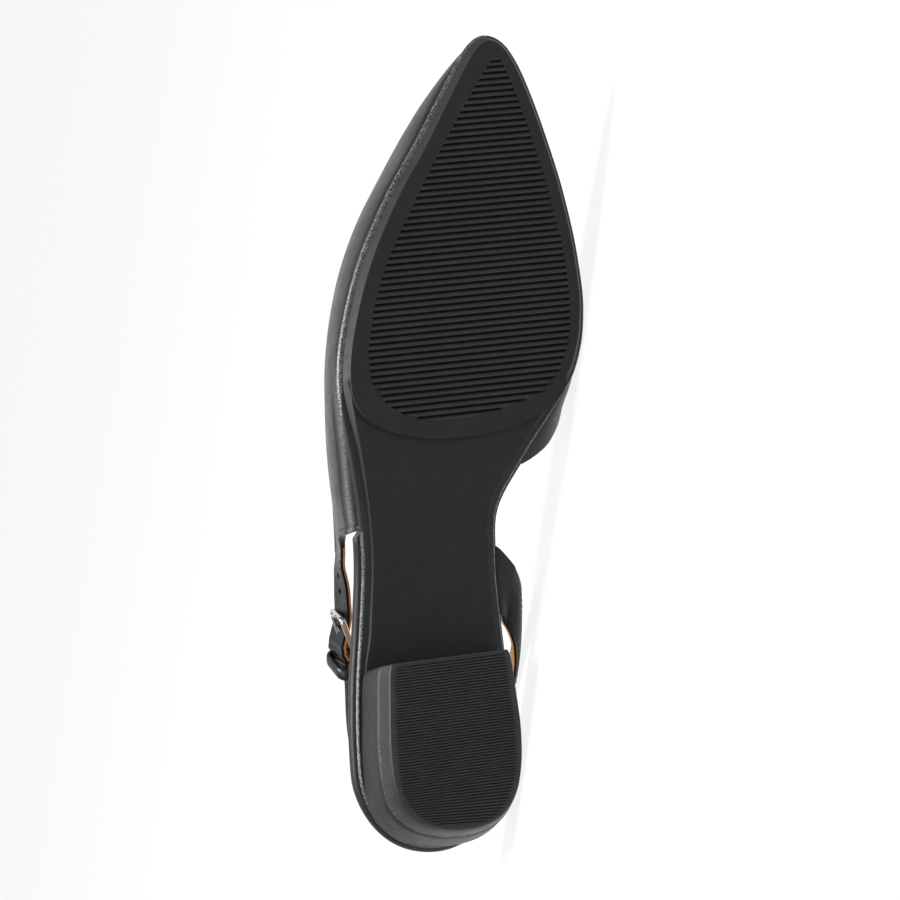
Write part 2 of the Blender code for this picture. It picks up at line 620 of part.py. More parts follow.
def make_back_strap(table):
    """Back strap: folded round the buckle's rear bar, round the heel and down the inner tab to the sole."""
    loop = WIRE + 0.15 + SLING_WALL / 2
    bar = BAR_REACH * math.cos(BUCKLE_TILT)
    deep = -BAR_REACH * math.sin(BUCKLE_TILT)

    def under(s):
        return (deep - loop) * (1 - ease(s, 6.0, 45.0))

    path = [(s, under(s) + SLING_WALL + GAP) for s in (15.0, 12.0, 9.6)]
    path += [(8.2, under(8.2) + SLING_WALL + 0.6), (6.8, deep + loop - 0.35)]
    path += [(bar - loop * math.sin(t), deep + loop * math.cos(t)) for t in np.linspace(0.0, math.pi, 9)]
    rest = np.linspace(31.0, table[-1, 0], 46)
    path += [(s, under(s)) for s in (8.0, 11.0, 14.0, 17.5, 21.0, 26.0, *rest)]
    path = np.array(path)
    shares = np.array([-0.5, -0.13, 0.13, 0.5])
    middle = sling_point(table, path[:, :1], path[:, 1:, None], shares[None, :, None])
    root = TAB_ROOT[0] + (TAB_ROOT[1] - TAB_ROOT[0]) * (shares + 0.5)
    turn = 2 * np.pi - half_turn(SOLE_PLAN, root)
    foot = plan(SOLE_PLAN, turn, -FEATHER_INSET - SLING_WALL / 2)
    foot = np.column_stack([foot, height(SEAT, foot[:, 0]) + GAP])
    above = plan(SOLE_PLAN, turn, 1.6)
    above = np.column_stack([above, height(SEAT, foot[:, 0]) + GAP + 2.2])
    middle = np.concatenate([middle, above[None], foot[None]])
    face = normals(middle)
    if face[-1, 0, 1] < 0:
        face = -face
    face[-1, :, 2] = 0.0
    face /= np.linalg.norm(face, axis=-1, keepdims=True)
    cells = np.ones((len(middle) - 1, 3), bool)
    cells[3:14, 1] = False
    half_wall = 0.5 * SLING_WALL * face
    return shell("back_strap", middle + half_wall, middle - half_wall, cells, 35.0)


def make_fittings(table):
    """Buckle frame and prong, and the keeper that holds the strap's tail."""
    at, run, up, out = frame_axes()
    corner = 1.6
    turns = np.linspace(0.0, 2 * np.pi, 25)[:-1] + np.pi / 24
    path = []
    for t in turns:
        across = np.array([math.cos(t), math.sin(t)])
        centre = np.copysign((BAR_REACH - corner, FRAME_HALF - corner), across)
        spot = centre + corner * across
        path.append((at + spot[0] * run + spot[1] * up, across[0] * run + across[1] * up, out))
    made = [loop_tube("buckle_frame", path, circle(WIRE, 8), True)]

    ring = WIRE + 0.12 + PRONG_WIRE
    turns = np.radians(np.linspace(-170, 90, 11))
    line = [(BAR_REACH + ring * math.cos(t), ring * math.sin(t)) for t in turns]
    line += [(3.2, ring + 0.02), (0.0, ring + 0.02), (-3.0, ring + 0.02)]
    line += [(-6.4, ring - 0.02), (-7.2, ring - 0.1)]
    line = np.array(line)
    slope = np.gradient(line, axis=0)
    slope /= np.linalg.norm(slope, axis=1, keepdims=True)
    path = [(at + p[0] * run + p[1] * out, up, -d[1] * run + d[0] * out) for p, d in zip(line, slope)]
    made.append(loop_tube("buckle_prong", path, circle(PRONG_WIRE, 8), False))

    _, run, _, _ = buckle_axes()
    half_w = STRAP_WIDTH / 2 + 0.5
    middle = (KEEPER_LOW + KEEPER_HIGH) / 2
    half_n = (KEEPER_HIGH - KEEPER_LOW) / 2
    corner = 0.9

    def around(wide, lift):
        place = np.array([KEEPER_AT - KEEPER_SLANT * lift])
        return sling_point(table, place, middle + lift, wide / STRAP_WIDTH)[0]

    path = []
    for t in np.linspace(0.0, 2 * np.pi, 17)[:-1] + np.pi / 16:
        across = np.array([math.cos(t), math.sin(t)])
        spot = np.copysign((half_w - corner, half_n - corner), across) + corner * across
        side = around(*(spot + 0.5 * across)) - around(*spot)
        side -= run * (side @ run)
        path.append((around(*spot), side / np.linalg.norm(side), run))
    profile = np.array([(0.0, -2.2), (1.0, -1.7), (1.2, 0.0), (1.0, 1.7), (0.0, 2.2)])
    made.append(loop_tube("strap_keeper", path, profile, True))
    return made


def lay_down(pieces):
    """Finds the flat of the inner side under the shoe's weight and hangs the pieces from an empty there."""
    weight = 0.0
    moment = np.zeros(3)
    cloud = []
    for piece in pieces:
        mesh = piece.data
        mesh.calc_loop_triangles()
        spots = np.array([v.co for v in mesh.vertices])
        corners = spots[np.array([t.vertices for t in mesh.loop_triangles])]
        part = np.einsum("ij,ij->i", corners[:, 0], np.cross(corners[:, 1], corners[:, 2])) / 6
        share = FINISH[piece.name][3]
        weight += share * part.sum()
        moment += share * (part[:, None] * corners.sum(1) / 4).sum(0)
        cloud.append(spots)
    heart = moment / weight
    cloud = np.concatenate(cloud)
    hull = bmesh.new()
    for spot in cloud:
        hull.verts.new(spot)
    bmesh.ops.convex_hull(hull, input=hull.verts)
    bmesh.ops.triangulate(hull, faces=hull.faces)
    best = np.array([0.0, 0.0, 1.0])
    for face in hull.faces:
        normal = np.array(face.normal)
        corners = np.array([v.co for v in face.verts])
        if normal @ (corners[0] - heart) < 0:
            normal = -normal
        if normal[1] <= best[1]:
            continue
        foot = heart + normal * (normal @ (corners[0] - heart))
        edges = np.roll(corners, -1, axis=0) - corners
        sides = np.cross(edges, foot - corners) @ normal
        if (sides >= 0).all() or (sides <= 0).all():
            best = normal
    hull.free()
    toe = np.array([1.0, 0.0, 0.0]) - best[0] * best
    toe /= np.linalg.norm(toe)
    turn = np.stack([toe, np.cross(-best, toe), -best])
    laid = cloud @ turn.T
    low, high = laid.min(0), laid.max(0)
    shift = -np.array([(low[0] + high[0]) / 2, (low[1] + high[1]) / 2, low[2]])
    holder = bpy.data.objects.new("resting_shoe", None)
    bpy.context.scene.collection.objects.link(holder)
    holder.matrix_world = Matrix.Translation(shift) @ Matrix(turn.tolist()).to_4x4()
    return holder


def main():
    for old in list(bpy.data.objects):
        bpy.data.objects.remove(old, do_unlink=True)
    sole, cutter = make_outsole()
    vamp = upper_grid()
    table = sling_table((vamp[0, STRAP_ROW], vamp[0, VAMP_ROWS]))
    pieces = [sole, *make_heel(), make_insole()]
    pieces += [make_upper(vamp, table), make_back_strap(table), *make_fittings(table)]
    holder = lay_down(pieces)
    for piece in (*pieces, cutter):
        piece.parent = holder
    bpy.context.view_layer.update()


main()
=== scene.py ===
"""Looks of a low heel slingback: leather upper and straps, ribbed rubber sole, wrapped insole and buckle.

The shoe is drawn upright in millimetres, X from the back of the heel to the toe, Y towards the inner side of the
foot and Z up, and every finished point is laid into the resting frame of the solids by one turn and shift.
"""
import math

import bmesh
import bpy
import numpy as np
from bpy.props import FloatProperty, FloatVectorProperty, PointerProperty
from mathutils import Matrix


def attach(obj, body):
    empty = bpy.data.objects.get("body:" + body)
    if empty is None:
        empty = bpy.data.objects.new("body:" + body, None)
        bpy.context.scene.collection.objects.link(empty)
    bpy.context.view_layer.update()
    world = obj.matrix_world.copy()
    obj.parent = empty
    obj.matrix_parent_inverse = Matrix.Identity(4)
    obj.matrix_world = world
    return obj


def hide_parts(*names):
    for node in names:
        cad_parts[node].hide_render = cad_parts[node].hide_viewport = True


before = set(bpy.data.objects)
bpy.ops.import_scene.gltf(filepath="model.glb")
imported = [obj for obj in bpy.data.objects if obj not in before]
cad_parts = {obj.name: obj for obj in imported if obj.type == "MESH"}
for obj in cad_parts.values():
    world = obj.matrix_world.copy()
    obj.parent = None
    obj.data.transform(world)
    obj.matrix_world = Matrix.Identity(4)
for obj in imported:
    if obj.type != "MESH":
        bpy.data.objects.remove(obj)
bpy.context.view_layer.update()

bl_info = {
    "name": "Low heel slingback",
    "version": (1, 0, 0),
    "blender": (4, 5, 0),
    "location": "View3D > Sidebar > Slingback",
    "description": "Dresses the solids of a low heel slingback in leather, rubber and metal",
    "category": "Object",
}

MM = 0.001
GAP = 0.3

# Direction to the floor in the upright frame and where the upright origin comes to lie, in metres.
REST_DOWN = (-0.222912, 0.9615982, -0.1601222)
REST_SHIFT = (-0.1318292, -0.031646, 0.0158483)

# Plan of the sole at its bead: station, outer edge of the shoe, inner edge of the shoe.
SOLE_PLAN = (
    (1.2, -2.6, -2.6), (3.5, -13.2, 7.4), (7.5, -18.8, 13.4), (13.5, -23.0, 18.8), (22.5, -25.9, 23.2),
    (35.0, -26.3, 25.0), (55.0, -25.0, 25.4), (75.0, -22.9, 24.0), (95.0, -22.1, 22.5), (110.0, -23.5, 23.1),
    (125.0, -25.9, 31.9), (140.0, -28.2, 43.0), (150.0, -28.9, 50.2), (160.0, -27.9, 54.2), (172.0, -25.0, 56.3),
    (190.0, -18.8, 55.8), (210.0, -8.6, 53.1), (230.0, 4.4, 49.0), (245.0, 13.7, 45.5), (256.0, 20.8, 42.2),
    (263.0, 26.2, 38.4), (266.0, 32.3, 32.3),
)

# Underside of the waist and heel seat, underside of the tread pad, top of the outsole: station, height.
SHANK = ((0.0, 20.9), (30.0, 20.0), (62.0, 18.9), (70.0, 18.0), (80.0, 16.3), (90.0, 14.0), (100.0, 11.0),
         (110.0, 7.8), (120.0, 4.8), (131.0, 2.2), (140.0, 1.4), (152.0, 1.2))
PAD = ((125.0, 0.6), (140.0, 0.0), (150.0, 0.0), (175.0, 0.0), (200.0, 0.0), (215.0, 0.5), (230.0, 1.7),
       (245.0, 3.8), (256.0, 5.8), (266.0, 7.8))
SEAT = ((0.0, 22.9), (30.0, 22.0), (62.0, 21.0), (70.0, 20.2), (80.0, 18.5), (90.0, 16.2), (100.0, 13.4),
        (110.0, 10.3), (120.0, 7.6), (131.0, 5.6), (140.0, 5.0), (175.0, 5.0), (200.0, 5.0), (215.0, 5.4),
        (230.0, 6.5), (245.0, 8.5), (256.0, 10.4), (266.0, 12.3))

# Edge of the outsole from its underside up: inset at forefoot, waist and heel, then the height as a rise
# over the underside (first two rows) or a drop under the top (the others) at forefoot, waist and heel.
SOLE_EDGE = (
    (2.6, 2.9, 1.9, 0.0, 0.0, 0.0),
    (2.15, 2.7, 1.8, 0.0, 0.25, 0.15),
    (1.0, 2.4, 1.75, 1.5, 1.3, 1.3),
    (1.5, 2.3, 1.7, 1.3, 1.15, 1.15),
    (0.3, 0.3, 0.3, 1.05, 1.0, 1.0),
    (0.0, 0.0, 0.0, 0.6, 0.6, 0.6),
    (0.3, 0.3, 0.3, 0.12, 0.12, 0.12),
    (0.7, 0.7, 0.7, 0.0, 0.0, 0.0),
)
RISING_ROWS = 2
# Stations over which the edge turns from heel to waist, from waist to forefoot and from bare wall to pad, and over
# which the underside begins to rise with the toe.
HEEL_STATIONS = (58.0, 72.0)
FORE_STATIONS = (126.0, 152.0)
PAD_STATIONS = (146.0, 152.5)
SPRING_STATIONS = (150.0, 200.0)
# How much further out and higher the rows of the bead lie along the outer side, and between which turns.
BEAD_SWELL = {4: (0.3, -0.25), 5: (0.65, 0.1), 6: (0.75, 0.75), 7: (0.0, 0.3)}
SWELL_TURNS = ((0.05, 0.6), (2.1, 3.0))
# The edge is blurred along its rows by this much, and drawn at these steps beside each row.
EDGE_SOFTNESS = 0.14
EDGE_STEPS = (-0.12, -0.05, 0.0, 0.05, 0.12, 0.5)
# Rows where the wall finish and the bead finish with its painted glints begin; under the upper the glinting band
# narrows between two stations.
WALL_ROWS = (0.6, 3.8)
BEAD_TAPER = ((126.0, 150.0), (6.6, 3.3))

# Tread pad: inset of its edge from the bead, its side as spread at the front, spread at the back and share of the
# rise, how far it is let into the outsole, stations between the back's and the front's spread.
PAD_INSET = 2.9
PAD_SIDE = ((0.0, 0.0, 0.0), (0.05, 0.03, 0.02), (0.14, 0.06, 0.08), (0.30, 0.09, 0.25), (0.52, 0.11, 0.55),
            (0.84, 0.13, 1.0))
PAD_SUNK = 0.12
PAD_FRONT = (149.0, 153.0)

# Back edge of the tread pad: stations at the outer and inner edges, places of those edges, depth of its bow and
# the power that moves the deepest point towards the outer side.
PAD_BACK = (150.8, 149.8)
PAD_SIDES = (-26.0, 47.0)
PAD_BOW = 19.2
PAD_SKEW = 0.78

# Sunk field of the tread: station, outer edge, inner edge.
FIELD_PLAN = (
    (136.8, 5.0, 5.0), (138.4, -6.0, 15.5), (142.0, -13.4, 30.0), (146.0, -17.0, 38.3), (151.0, -19.0, 43.8),
    (158.0, -19.5, 47.6), (167.0, -18.0, 49.7), (186.5, -11.8, 49.9), (204.5, -2.3, 47.8), (226.0, 10.8, 43.4),
    (244.5, 23.2, 38.9), (253.0, 29.3, 36.6), (257.5, 34.0, 34.0),
)
# Stations where the pad's columns begin and cease to follow the field's edges, shares of those columns elsewhere,
# and how deep inside the edge the ribs begin.
FIELD_ENDS = ((137.0, 149.0), (247.0, 256.0))
FIELD_SHARES = (0.2, 0.8)
FIELD_RIM = (-0.12, 0.25)
# Columns of the pad: shares of the plain outer margin, millimetres beside a field edge, shares of the inner margin.
OUTER_MARGIN = (0.0, 0.12, 0.3, 0.5, 0.7, 0.84)
BESIDE_RIM = (-0.8, -0.4, -0.12, 0.12, 0.4, 0.8)
INNER_MARGIN = (0.16, 0.3, 0.5, 0.7, 0.88, 1.0)

# Rib of the tread, from one groove to the next: share of the pitch, share of the groove's depth. Slant of the ribs
# and the line they turn about; first rib in pitches and millimetres from the pad's back, station of the last one,
# where the slant fades.
RIB = ((0.0, 1.0), (0.08, 0.96), (0.12, 0.30), (0.17, 0.05), (0.30, 0.0), (0.52, 0.08), (0.74, 0.24), (0.92, 0.52))
RIB_SLANT = math.tan(math.radians(4.0))
RIB_MIDDLE = 15.0
RIB_FIRST = (3, 0.5)
RIB_LAST = 258.5
SLANT_END = 252.0

# Plan of the heel at its foot: distance from its back, half width. Stations of its back, middle and breast, flare
# and lean at its top and the power they grow by, height of its top, swing to the outer side at the back, slant of
# the breast and the length over which it sets in.
HEEL_PLAN = ((0.0, 0.0), (1.6, 9.6), (3.2, 12.9), (6.5, 16.7), (12.0, 19.9), (18.0, 21.2), (28.0, 21.8),
             (42.0, 21.1), (53.6, 20.0), (55.2, 19.0))
HEEL_BACK = 5.7
HEEL_MIDDLE = (32.0, 0.0)
HEEL_BREAST = 60.9
HEEL_FLARE = 1.18
HEEL_LEAN = 4.2
FLARE_POWER = 0.75
HEEL_TOP = 20.0
HEEL_SWING = 0.7
SWING_STATIONS = (0.0, 40.0)
BREAST_SLANT = math.tan(math.radians(4.1))
SLANT_REACH = 16.0
# Lift: its height, its rib as the tread's, plain length behind the ribs and in all, how the grooves set in behind
# and beside, columns of the plain margin.
LIFT_HEIGHT = 7.3
LIFT_RIB = ((0.0, 1.0), (0.12, 0.9), (0.3, 0.15), (0.62, 0.0), (0.85, 0.35))
LIFT_BEHIND = 0.9
LIFT_PLAIN = 1.25
LIFT_BEGIN = (0.7, 1.3)
LIFT_MARGIN = (0.7, 2.1)
LIFT_MARGIN_COLUMNS = (0.0, 0.012, 0.024, 0.04, 0.055)
# Edges of the lift and of the block: height, inset; the block's last row lies under the sole. Rows of the lift below
# its bead, gap of pieces that are glued together.
LIFT_EDGE = ((0.0, 0.3), (0.06, 0.12), (0.16, 0.03), (0.32, 0.0), (2.6, 0.0), (4.8, 0.0), (LIFT_HEIGHT - 0.42, 0.0),
             (LIFT_HEIGHT - 0.36, -0.1), (LIFT_HEIGHT - 0.1, -0.1), (LIFT_HEIGHT, 0.1))
LIFT_PLAIN_ROWS = 6
BLOCK_FOOT = LIFT_HEIGHT + 0.12
BLOCK_EDGE = ((BLOCK_FOOT, 0.45), (BLOCK_FOOT + 0.12, 0.05), (BLOCK_FOOT + 0.4, -0.12), (10.5, -0.06), (14.0, 0.0),
              (16.5, 0.0), (None, 0.0))
TOUCH = 0.02

# Insole: its wrapped edge as inset and share of the thickness; rise of the sock and width of its rim; stations over
# which the dish flattens and the board thins; thickness at forefoot and heel; how far the bare edge stands past the
# bead, how much further on the outer and inner sides and from where; how far the covered edge lies inside; where the
# quarter begins on the outer side and where the bead goes under it.
WRAP_EDGE = ((1.9, 0.0), (1.0, 0.02), (0.42, 0.12), (0.1, 0.3), (0.0, 0.5), (0.1, 0.7), (0.42, 0.88), (1.0, 0.98),
             (1.9, 1.0), (2.6, 1.0))
SOCK_RISE = 0.28
SOCK_RIM = (0.1, 0.6)
SOCK_DISH = (50.0, 100.0)
INSOLE_THINS = (85.0, 135.0)
INSOLE_FORE = 2.4
INSOLE_HEEL = 4.8
WRAP_OUT = 1.1
WRAP_MORE = (1.15, 0.0)
WRAP_GROWS = (3.0, 25.0)
COVERED_IN = 3.0
OUTER_COVER = 105.2
BEAD_UNDER_UPPER = OUTER_COVER - 2.7
# Stations where leather begins and ceases to cover the insole's edge, on the outer and on the inner side.
COVERS = (
    (((OUTER_COVER - 1.2, OUTER_COVER), (299.4, 301.0)),),
    (((76.5, 78.1), (94.8, 96.4)), ((124.2, 125.8), (299.4, 301.0))),
)

# Sections of the upper from its lasted edge to its topline, outer back edge round the toe to inner end:
# station, side (-1 outer, 0 toe, 1 inner), flare and rise of the wall, topline point, lean of the topline.
UPPER = (
    (104.3, -1, 3.2, 14.0, 104.6, -20.4, 49.6, 0.8, -1.8, -9.0),
    (114.0, -1, 4.5, 15.0, 117.0, -20.5, 48.6, 0.0, -5.0, -12.0),
    (128.0, -1, 4.2, 15.0, 133.0, -20.4, 47.6, -1.0, -7.0, -13.0),
    (150.0, -1, 2.6, 15.0, 155.0, -16.5, 47.2, -1.0, -10.0, -11.0),
    (178.0, -1, 4.0, 16.0, 174.0, -9.0, 46.4, 2.0, -15.0, -8.0),
    (215.0, -1, 6.0, 17.0, 188.0, 0.5, 45.0, 12.0, -19.0, -6.0),
    (248.0, -1, 5.0, 15.0, 194.5, 9.0, 43.7, 33.0, -12.0, -7.0),
    (266.0, 0, 0.8, 11.0, 196.0, 17.0, 43.2, 42.0, 8.0, -9.0),
    (252.0, 1, 2.0, 13.0, 195.0, 25.0, 43.2, 31.0, 15.0, -8.0),
    (222.0, 1, 3.0, 15.0, 189.5, 33.5, 42.7, 14.0, 14.0, -6.0),
    (190.0, 1, 3.4, 15.0, 178.0, 42.0, 40.0, 3.0, 12.0, -6.0),
    (165.0, 1, 3.6, 12.0, 162.0, 49.5, 33.5, 0.0, 6.5, -7.0),
    (146.0, 1, 6.0, 8.0, 147.5, 51.0, 25.5, -1.0, 2.5, -6.0),
    (134.0, 1, 7.0, 6.0, 135.0, 47.2, 18.4, 0.0, 1.5, -4.0),
    (128.5, 1, 6.4, 4.6, 129.0, 42.0, 14.2, 0.0, 1.0, -3.0),
    (122.9, 1, 2.2, 1.2, 123.1, 32.3, 9.3, 0.0, 0.3, -0.9),
)
# Upper: inset of the lasted edge, share of the height where the strap begins, counts of the vamp's columns and rows,
# rows close to the sole, rows of the wall, the row on which lengths along the sole are measured, the topline's seam.
FEATHER_INSET = 0.9
STRAP_SHARE = 8 / 13
VAMP_COLUMNS = 250
VAMP_ROWS = 52
FOOT_ROWS = (0.0, 0.005, 0.011, 0.018, 0.026, 0.036, 0.048)
WALL_SHARES = (0.065, STRAP_SHARE, 29)
EDGE_ROW = 16
TOPLINE_SEAM = 2.6
# Painted highlight along the outer wall, a lighter grey with a grainy break-up where the lasted bulge catches the
# light: heights at the ball and at the back edge and spread, stations between them and where it ends, colour, noise.
HIGHLIGHT_BAND = (4.5, 9.3, 1.9)
HIGHLIGHT_STATIONS = (104.0, 148.0)
HIGHLIGHT_END = (140.0, 165.0)
HIGHLIGHT_GREY = (0.16, 0.16, 0.165)
HIGHLIGHT_SPECKLE = (1500.0, 2.0, 0.6)
# Dull leather: how far its band lies above the painted highlight band, its share on the wall and on the strap;
# crease beside the quarter's back edge as share, distance from the edge and breadth.
DULL_RISE = 4.6
DULL_WALL = 0.8
DULL_STRAP = 0.6
CREASE = (0.9, 2.2, 0.6)
# How far the lasted edge is drawn in and over which height; breadth of the topline's roll; roll of the cut ends and
# the pressed line beside it, each as height, place and breadth.
TUCK = (1.3, 3.0)
EDGE_BREADTH = 1.1
END_ROLL = (1.6, 0.7, 0.8)
PRESSED_LINE = (0.6, 2.3, 0.5)

# Buckle: its middle, the strap's run and width directions, turn of the frame, bars, half span, wires.
BUCKLE_AT = (75.7, -19.8, 51.6)
BUCKLE_RUN = (-0.945, 0.05, 0.31)
BUCKLE_UP = (0.30, 0.05, 0.94)
BUCKLE_TILT = math.radians(18.0)
BAR_REACH = 5.5
FRAME_HALF = 7.2
WIRE = 0.95
PRONG_WIRE = 0.55
# Prong from its curl to its tip: place along the frame, height over the curl's top.
PRONG_LINE = ((3.2, 0.02), (0.0, 0.02), (-3.0, 0.02), (-6.4, -0.02), (-7.2, -0.1))

# The front strap's height over the sling line: place along the line, height.
STRAP_WAVE = ((-40.0, 0.0), (-16.0, 0.0), (-11.0, -0.2), (-5.2, -0.4), (-2.0, 0.2), (2.0, 1.4), (4.6, 2.05),
              (6.0, 2.1), (7.4, 1.8), (9.0, 1.2), (10.8, 0.85), (14.0, 0.75))
STRAP_END = 14.0
CORNER = 4.0
# How far the quarter's bend reaches into the strap and the corner into the quarter, where the strap's columns
# widen, the strap's ripple behind the buckle and between which places, length and depth of its rounded tip.
BEND_REACH = 5.0
CORNER_REACH = 5.2
STRAP_FINE = -8.0
RIPPLE = 0.13
RIPPLE_PLACES = ((2.5, 5.0), (10.5, 12.5))
TIP_REACH = 5.0
TIP_ROUND = 4.0
# Columns over which the strap is smoothed into the quarter, on the strap and on the quarter, and how often.
SMOOTH_COLUMNS = (6.0, 11.0)
SMOOTH_TIMES = 12
# The prong's slot by place and share of the width, places and radius of the holes, width of the strap, its lean at
# the buckle, bow of the back strap across its width.
SLOT = (-1.6, 0.6)
SLOT_SHARE = 0.11
HOLES = (-13.2, -18.4)
HOLE_RADIUS = 0.86
STRAP_WIDTH = 10.8
STRAP_TWIST = 0.16
STRAP_BOW = 1.3

# Strap between the quarter and the buckle, then behind it: middle of the strap, lower-to-upper edge vector.
FRONT_STRAP = ((97.5, -21.1, 45.0, 0.9, 1.3, 11.0), (90.0, -20.3, 47.0, 2.3, -0.6, 10.5))
SLING = (
    (61.5, -18.9, 56.2, 3.0, -1.6, 10.2), (55.9, -18.2, 58.1, 2.9, -1.0, 10.3), (40.0, -16.0, 60.8, 2.6, -0.3, 10.2),
    (27.0, -12.8, 62.8, 1.6, 0.3, 10.3), (17.0, -6.8, 63.5, 1.0, 0.3, 10.3), (12.8, 1.0, 63.0, 1.0, 0.0, 10.3),
    (16.5, 9.3, 61.5, 1.3, -0.2, 10.3), (27.0, 18.6, 57.8, 3.0, 0.2, 10.6), (41.5, 27.6, 51.8, 5.0, 1.4, 10.6),
    (55.0, 33.8, 44.8, 7.5, 2.6, 10.2), (67.0, 34.8, 37.5, 12.5, 4.4, 8.6), (77.3, 33.2, 30.0, 18.0, 6.2, 6.0),
    (82.6, 29.4, 25.1, 19.6, 4.4, 0.9),
)
# Tab: stations of its root on the sole. Fold: places of its end, places on the way to the bar, where the strap rises
# to the sling line, close places behind the bar, the prong's slot by row and share of the width, first lined row.
TAB_ROOT = (75.0, 97.0)
FOLD_END = (15.0, 12.0, 9.6)
FOLD_BACK = (8.2, 6.8)
FOLD_RISE = (6.0, 45.0)
BEHIND_BAR = (8.0, 11.0, 14.0, 17.5, 21.0, 26.0)
FOLD_SLOT = (3.0, 14.0)
FOLD_SHARE = 0.12
LINED_FROM = 20.0

# Keeper: its place along the strap, how far it slants to both sides, inner and outer sides over the sling line,
# section of its band as height and place across.
KEEPER_AT = 11.8
KEEPER_SLANT = 4.0
KEEPER_LOW = -4.2
KEEPER_HIGH = 2.9
KEEPER_EDGE = ((0.1, -1.8), (0.0, -1.5), (0.0, 1.5), (0.1, 1.8), (0.4, 2.0), (0.85, 1.95), (1.2, 1.7), (1.4, 1.1),
               (1.45, 0.0), (1.4, -1.1), (1.2, -1.7), (0.85, -1.95), (0.4, -2.0))

# Stitch: share of its length, share of the thread's thickness, height over the leather in threads. Its start and
# length in pitches; shares of the straps' width where the rows run; first row and rows left at the end of the back
# strap, place where the front strap's rows begin, columns of the topline's seam.
STITCH = ((0.0, 0.35, -0.6), (0.12, 0.95, -0.12), (0.5, 1.0, 0.04), (0.88, 0.95, -0.12), (1.0, 0.35, -0.6))
STITCH_START = 0.15
STITCH_LENGTH = 0.74
STITCH_SHARES = (-0.36, 0.36)
SEWN_ROWS = (17.0, 2.2)
SEWN_FRONT = -8.5
SEAM_COLUMNS = slice(11, -8)

# Camera in the upright frame: rise and swing of its view, roll in degrees, distance and target in millimetres.
VIEW_RISE = 18.0
VIEW_SWING = 7.0
VIEW_ROLL = 4.5
VIEW_DISTANCE = 1500.0
VIEW_TARGET = (128.0, 7.0, 5.0)
VIEW_SCALE = 3.1
IMAGE_SIDE = 900.0

# Lights: name, place, aim, side in metres, power. Floor: half width, front, start and radius of its bend, glow.
# Strength of the world's light.
LIGHTS = (
    ("key", (-0.9, -1.4, 1.7), (0.0, 0.0, 0.03), 1.2, 14.0),
    ("top", (0.1, -0.2, 1.9), (0.0, 0.0, 0.0), 0.8, 62.0),
    ("front", (0.9, -2.2, 0.9), (0.0, 0.0, 0.03), 1.0, 5.0),
)
FLOOR_HALF = 8.0
FLOOR_FRONT = -6.0
FLOOR_BEND = (3.0, 2.0)
FLOOR_GLOW = 0.86
WORLD_LIGHT = 0.26
WHITE = (1.0, 1.0, 1.0, 1.0)

# Grain of each kind of material. A pattern is the scale, detail and roughness of a noise, or the scale of cells.
# Tint: pattern, darker and lighter share of the colour, where the pattern turns between them. Gloss: pattern, change
# of the roughness at its two ends. Bumps: pattern, strength, depth in millimetres. MOULDED is the detail, roughness
# and strength of a moulded grain.
EVEN = (0.3, 0.7)
BEAD_GRAIN_AND_GLINTS = (1900.0, 2.0, 0.6)
MOULDED = (3.0, 0.65, 0.4)
KINDS = {
    "leather": {
        "tint": ((55.0, 4.0, 0.55), (0.8, 1.35), EVEN),
        "gloss": ((160.0, 5.0, 0.55), (-0.06, 0.07)),
        "bumps": (((55.0, 4.0, 0.55), 0.25, 0.35), ((1300.0,), 0.22, 0.06), ((3200.0, 2.0, 0.55), 0.2, 0.03)),
    },
    "lining": {
        "tint": ((90.0, 5.0, 0.55), (0.82, 1.12), EVEN),
        "bumps": (((1900.0,), 0.3, 0.05), ((900.0, 4.0, 0.55), 0.3, 0.05)),
    },
    "rubber": {
        "tint": ((140.0, 5.0, 0.55), (0.88, 1.14), EVEN),
        "gloss": ((420.0, 4.0, 0.55), (-0.05, 0.06)),
    },
    # The bead's tint paints glints: speckles up to fourteen times lighter than its colour stand in for broken
    # highlights along its crown; its bumps and gloss are real grain.
    "bead": {
        "tint": (BEAD_GRAIN_AND_GLINTS, (0.8, 14.0), (0.42, 0.64)),
        "gloss": (BEAD_GRAIN_AND_GLINTS, (0.13, -0.08)),
        "bumps": ((BEAD_GRAIN_AND_GLINTS, 0.7, 0.22),),
    },
    "metal": {
        "gloss": ((700.0, 3.0, 0.55), (-0.04, 0.06)),
        "bumps": (((1200.0, 2.0, 0.55), 0.06, 0.02),),
    },
    "thread": {
        "tint": ((2500.0, 3.0, 0.55), (0.7, 1.5), EVEN),
        "bumps": (((4000.0, 3.0, 0.55), 0.4, 0.05),),
    },
}
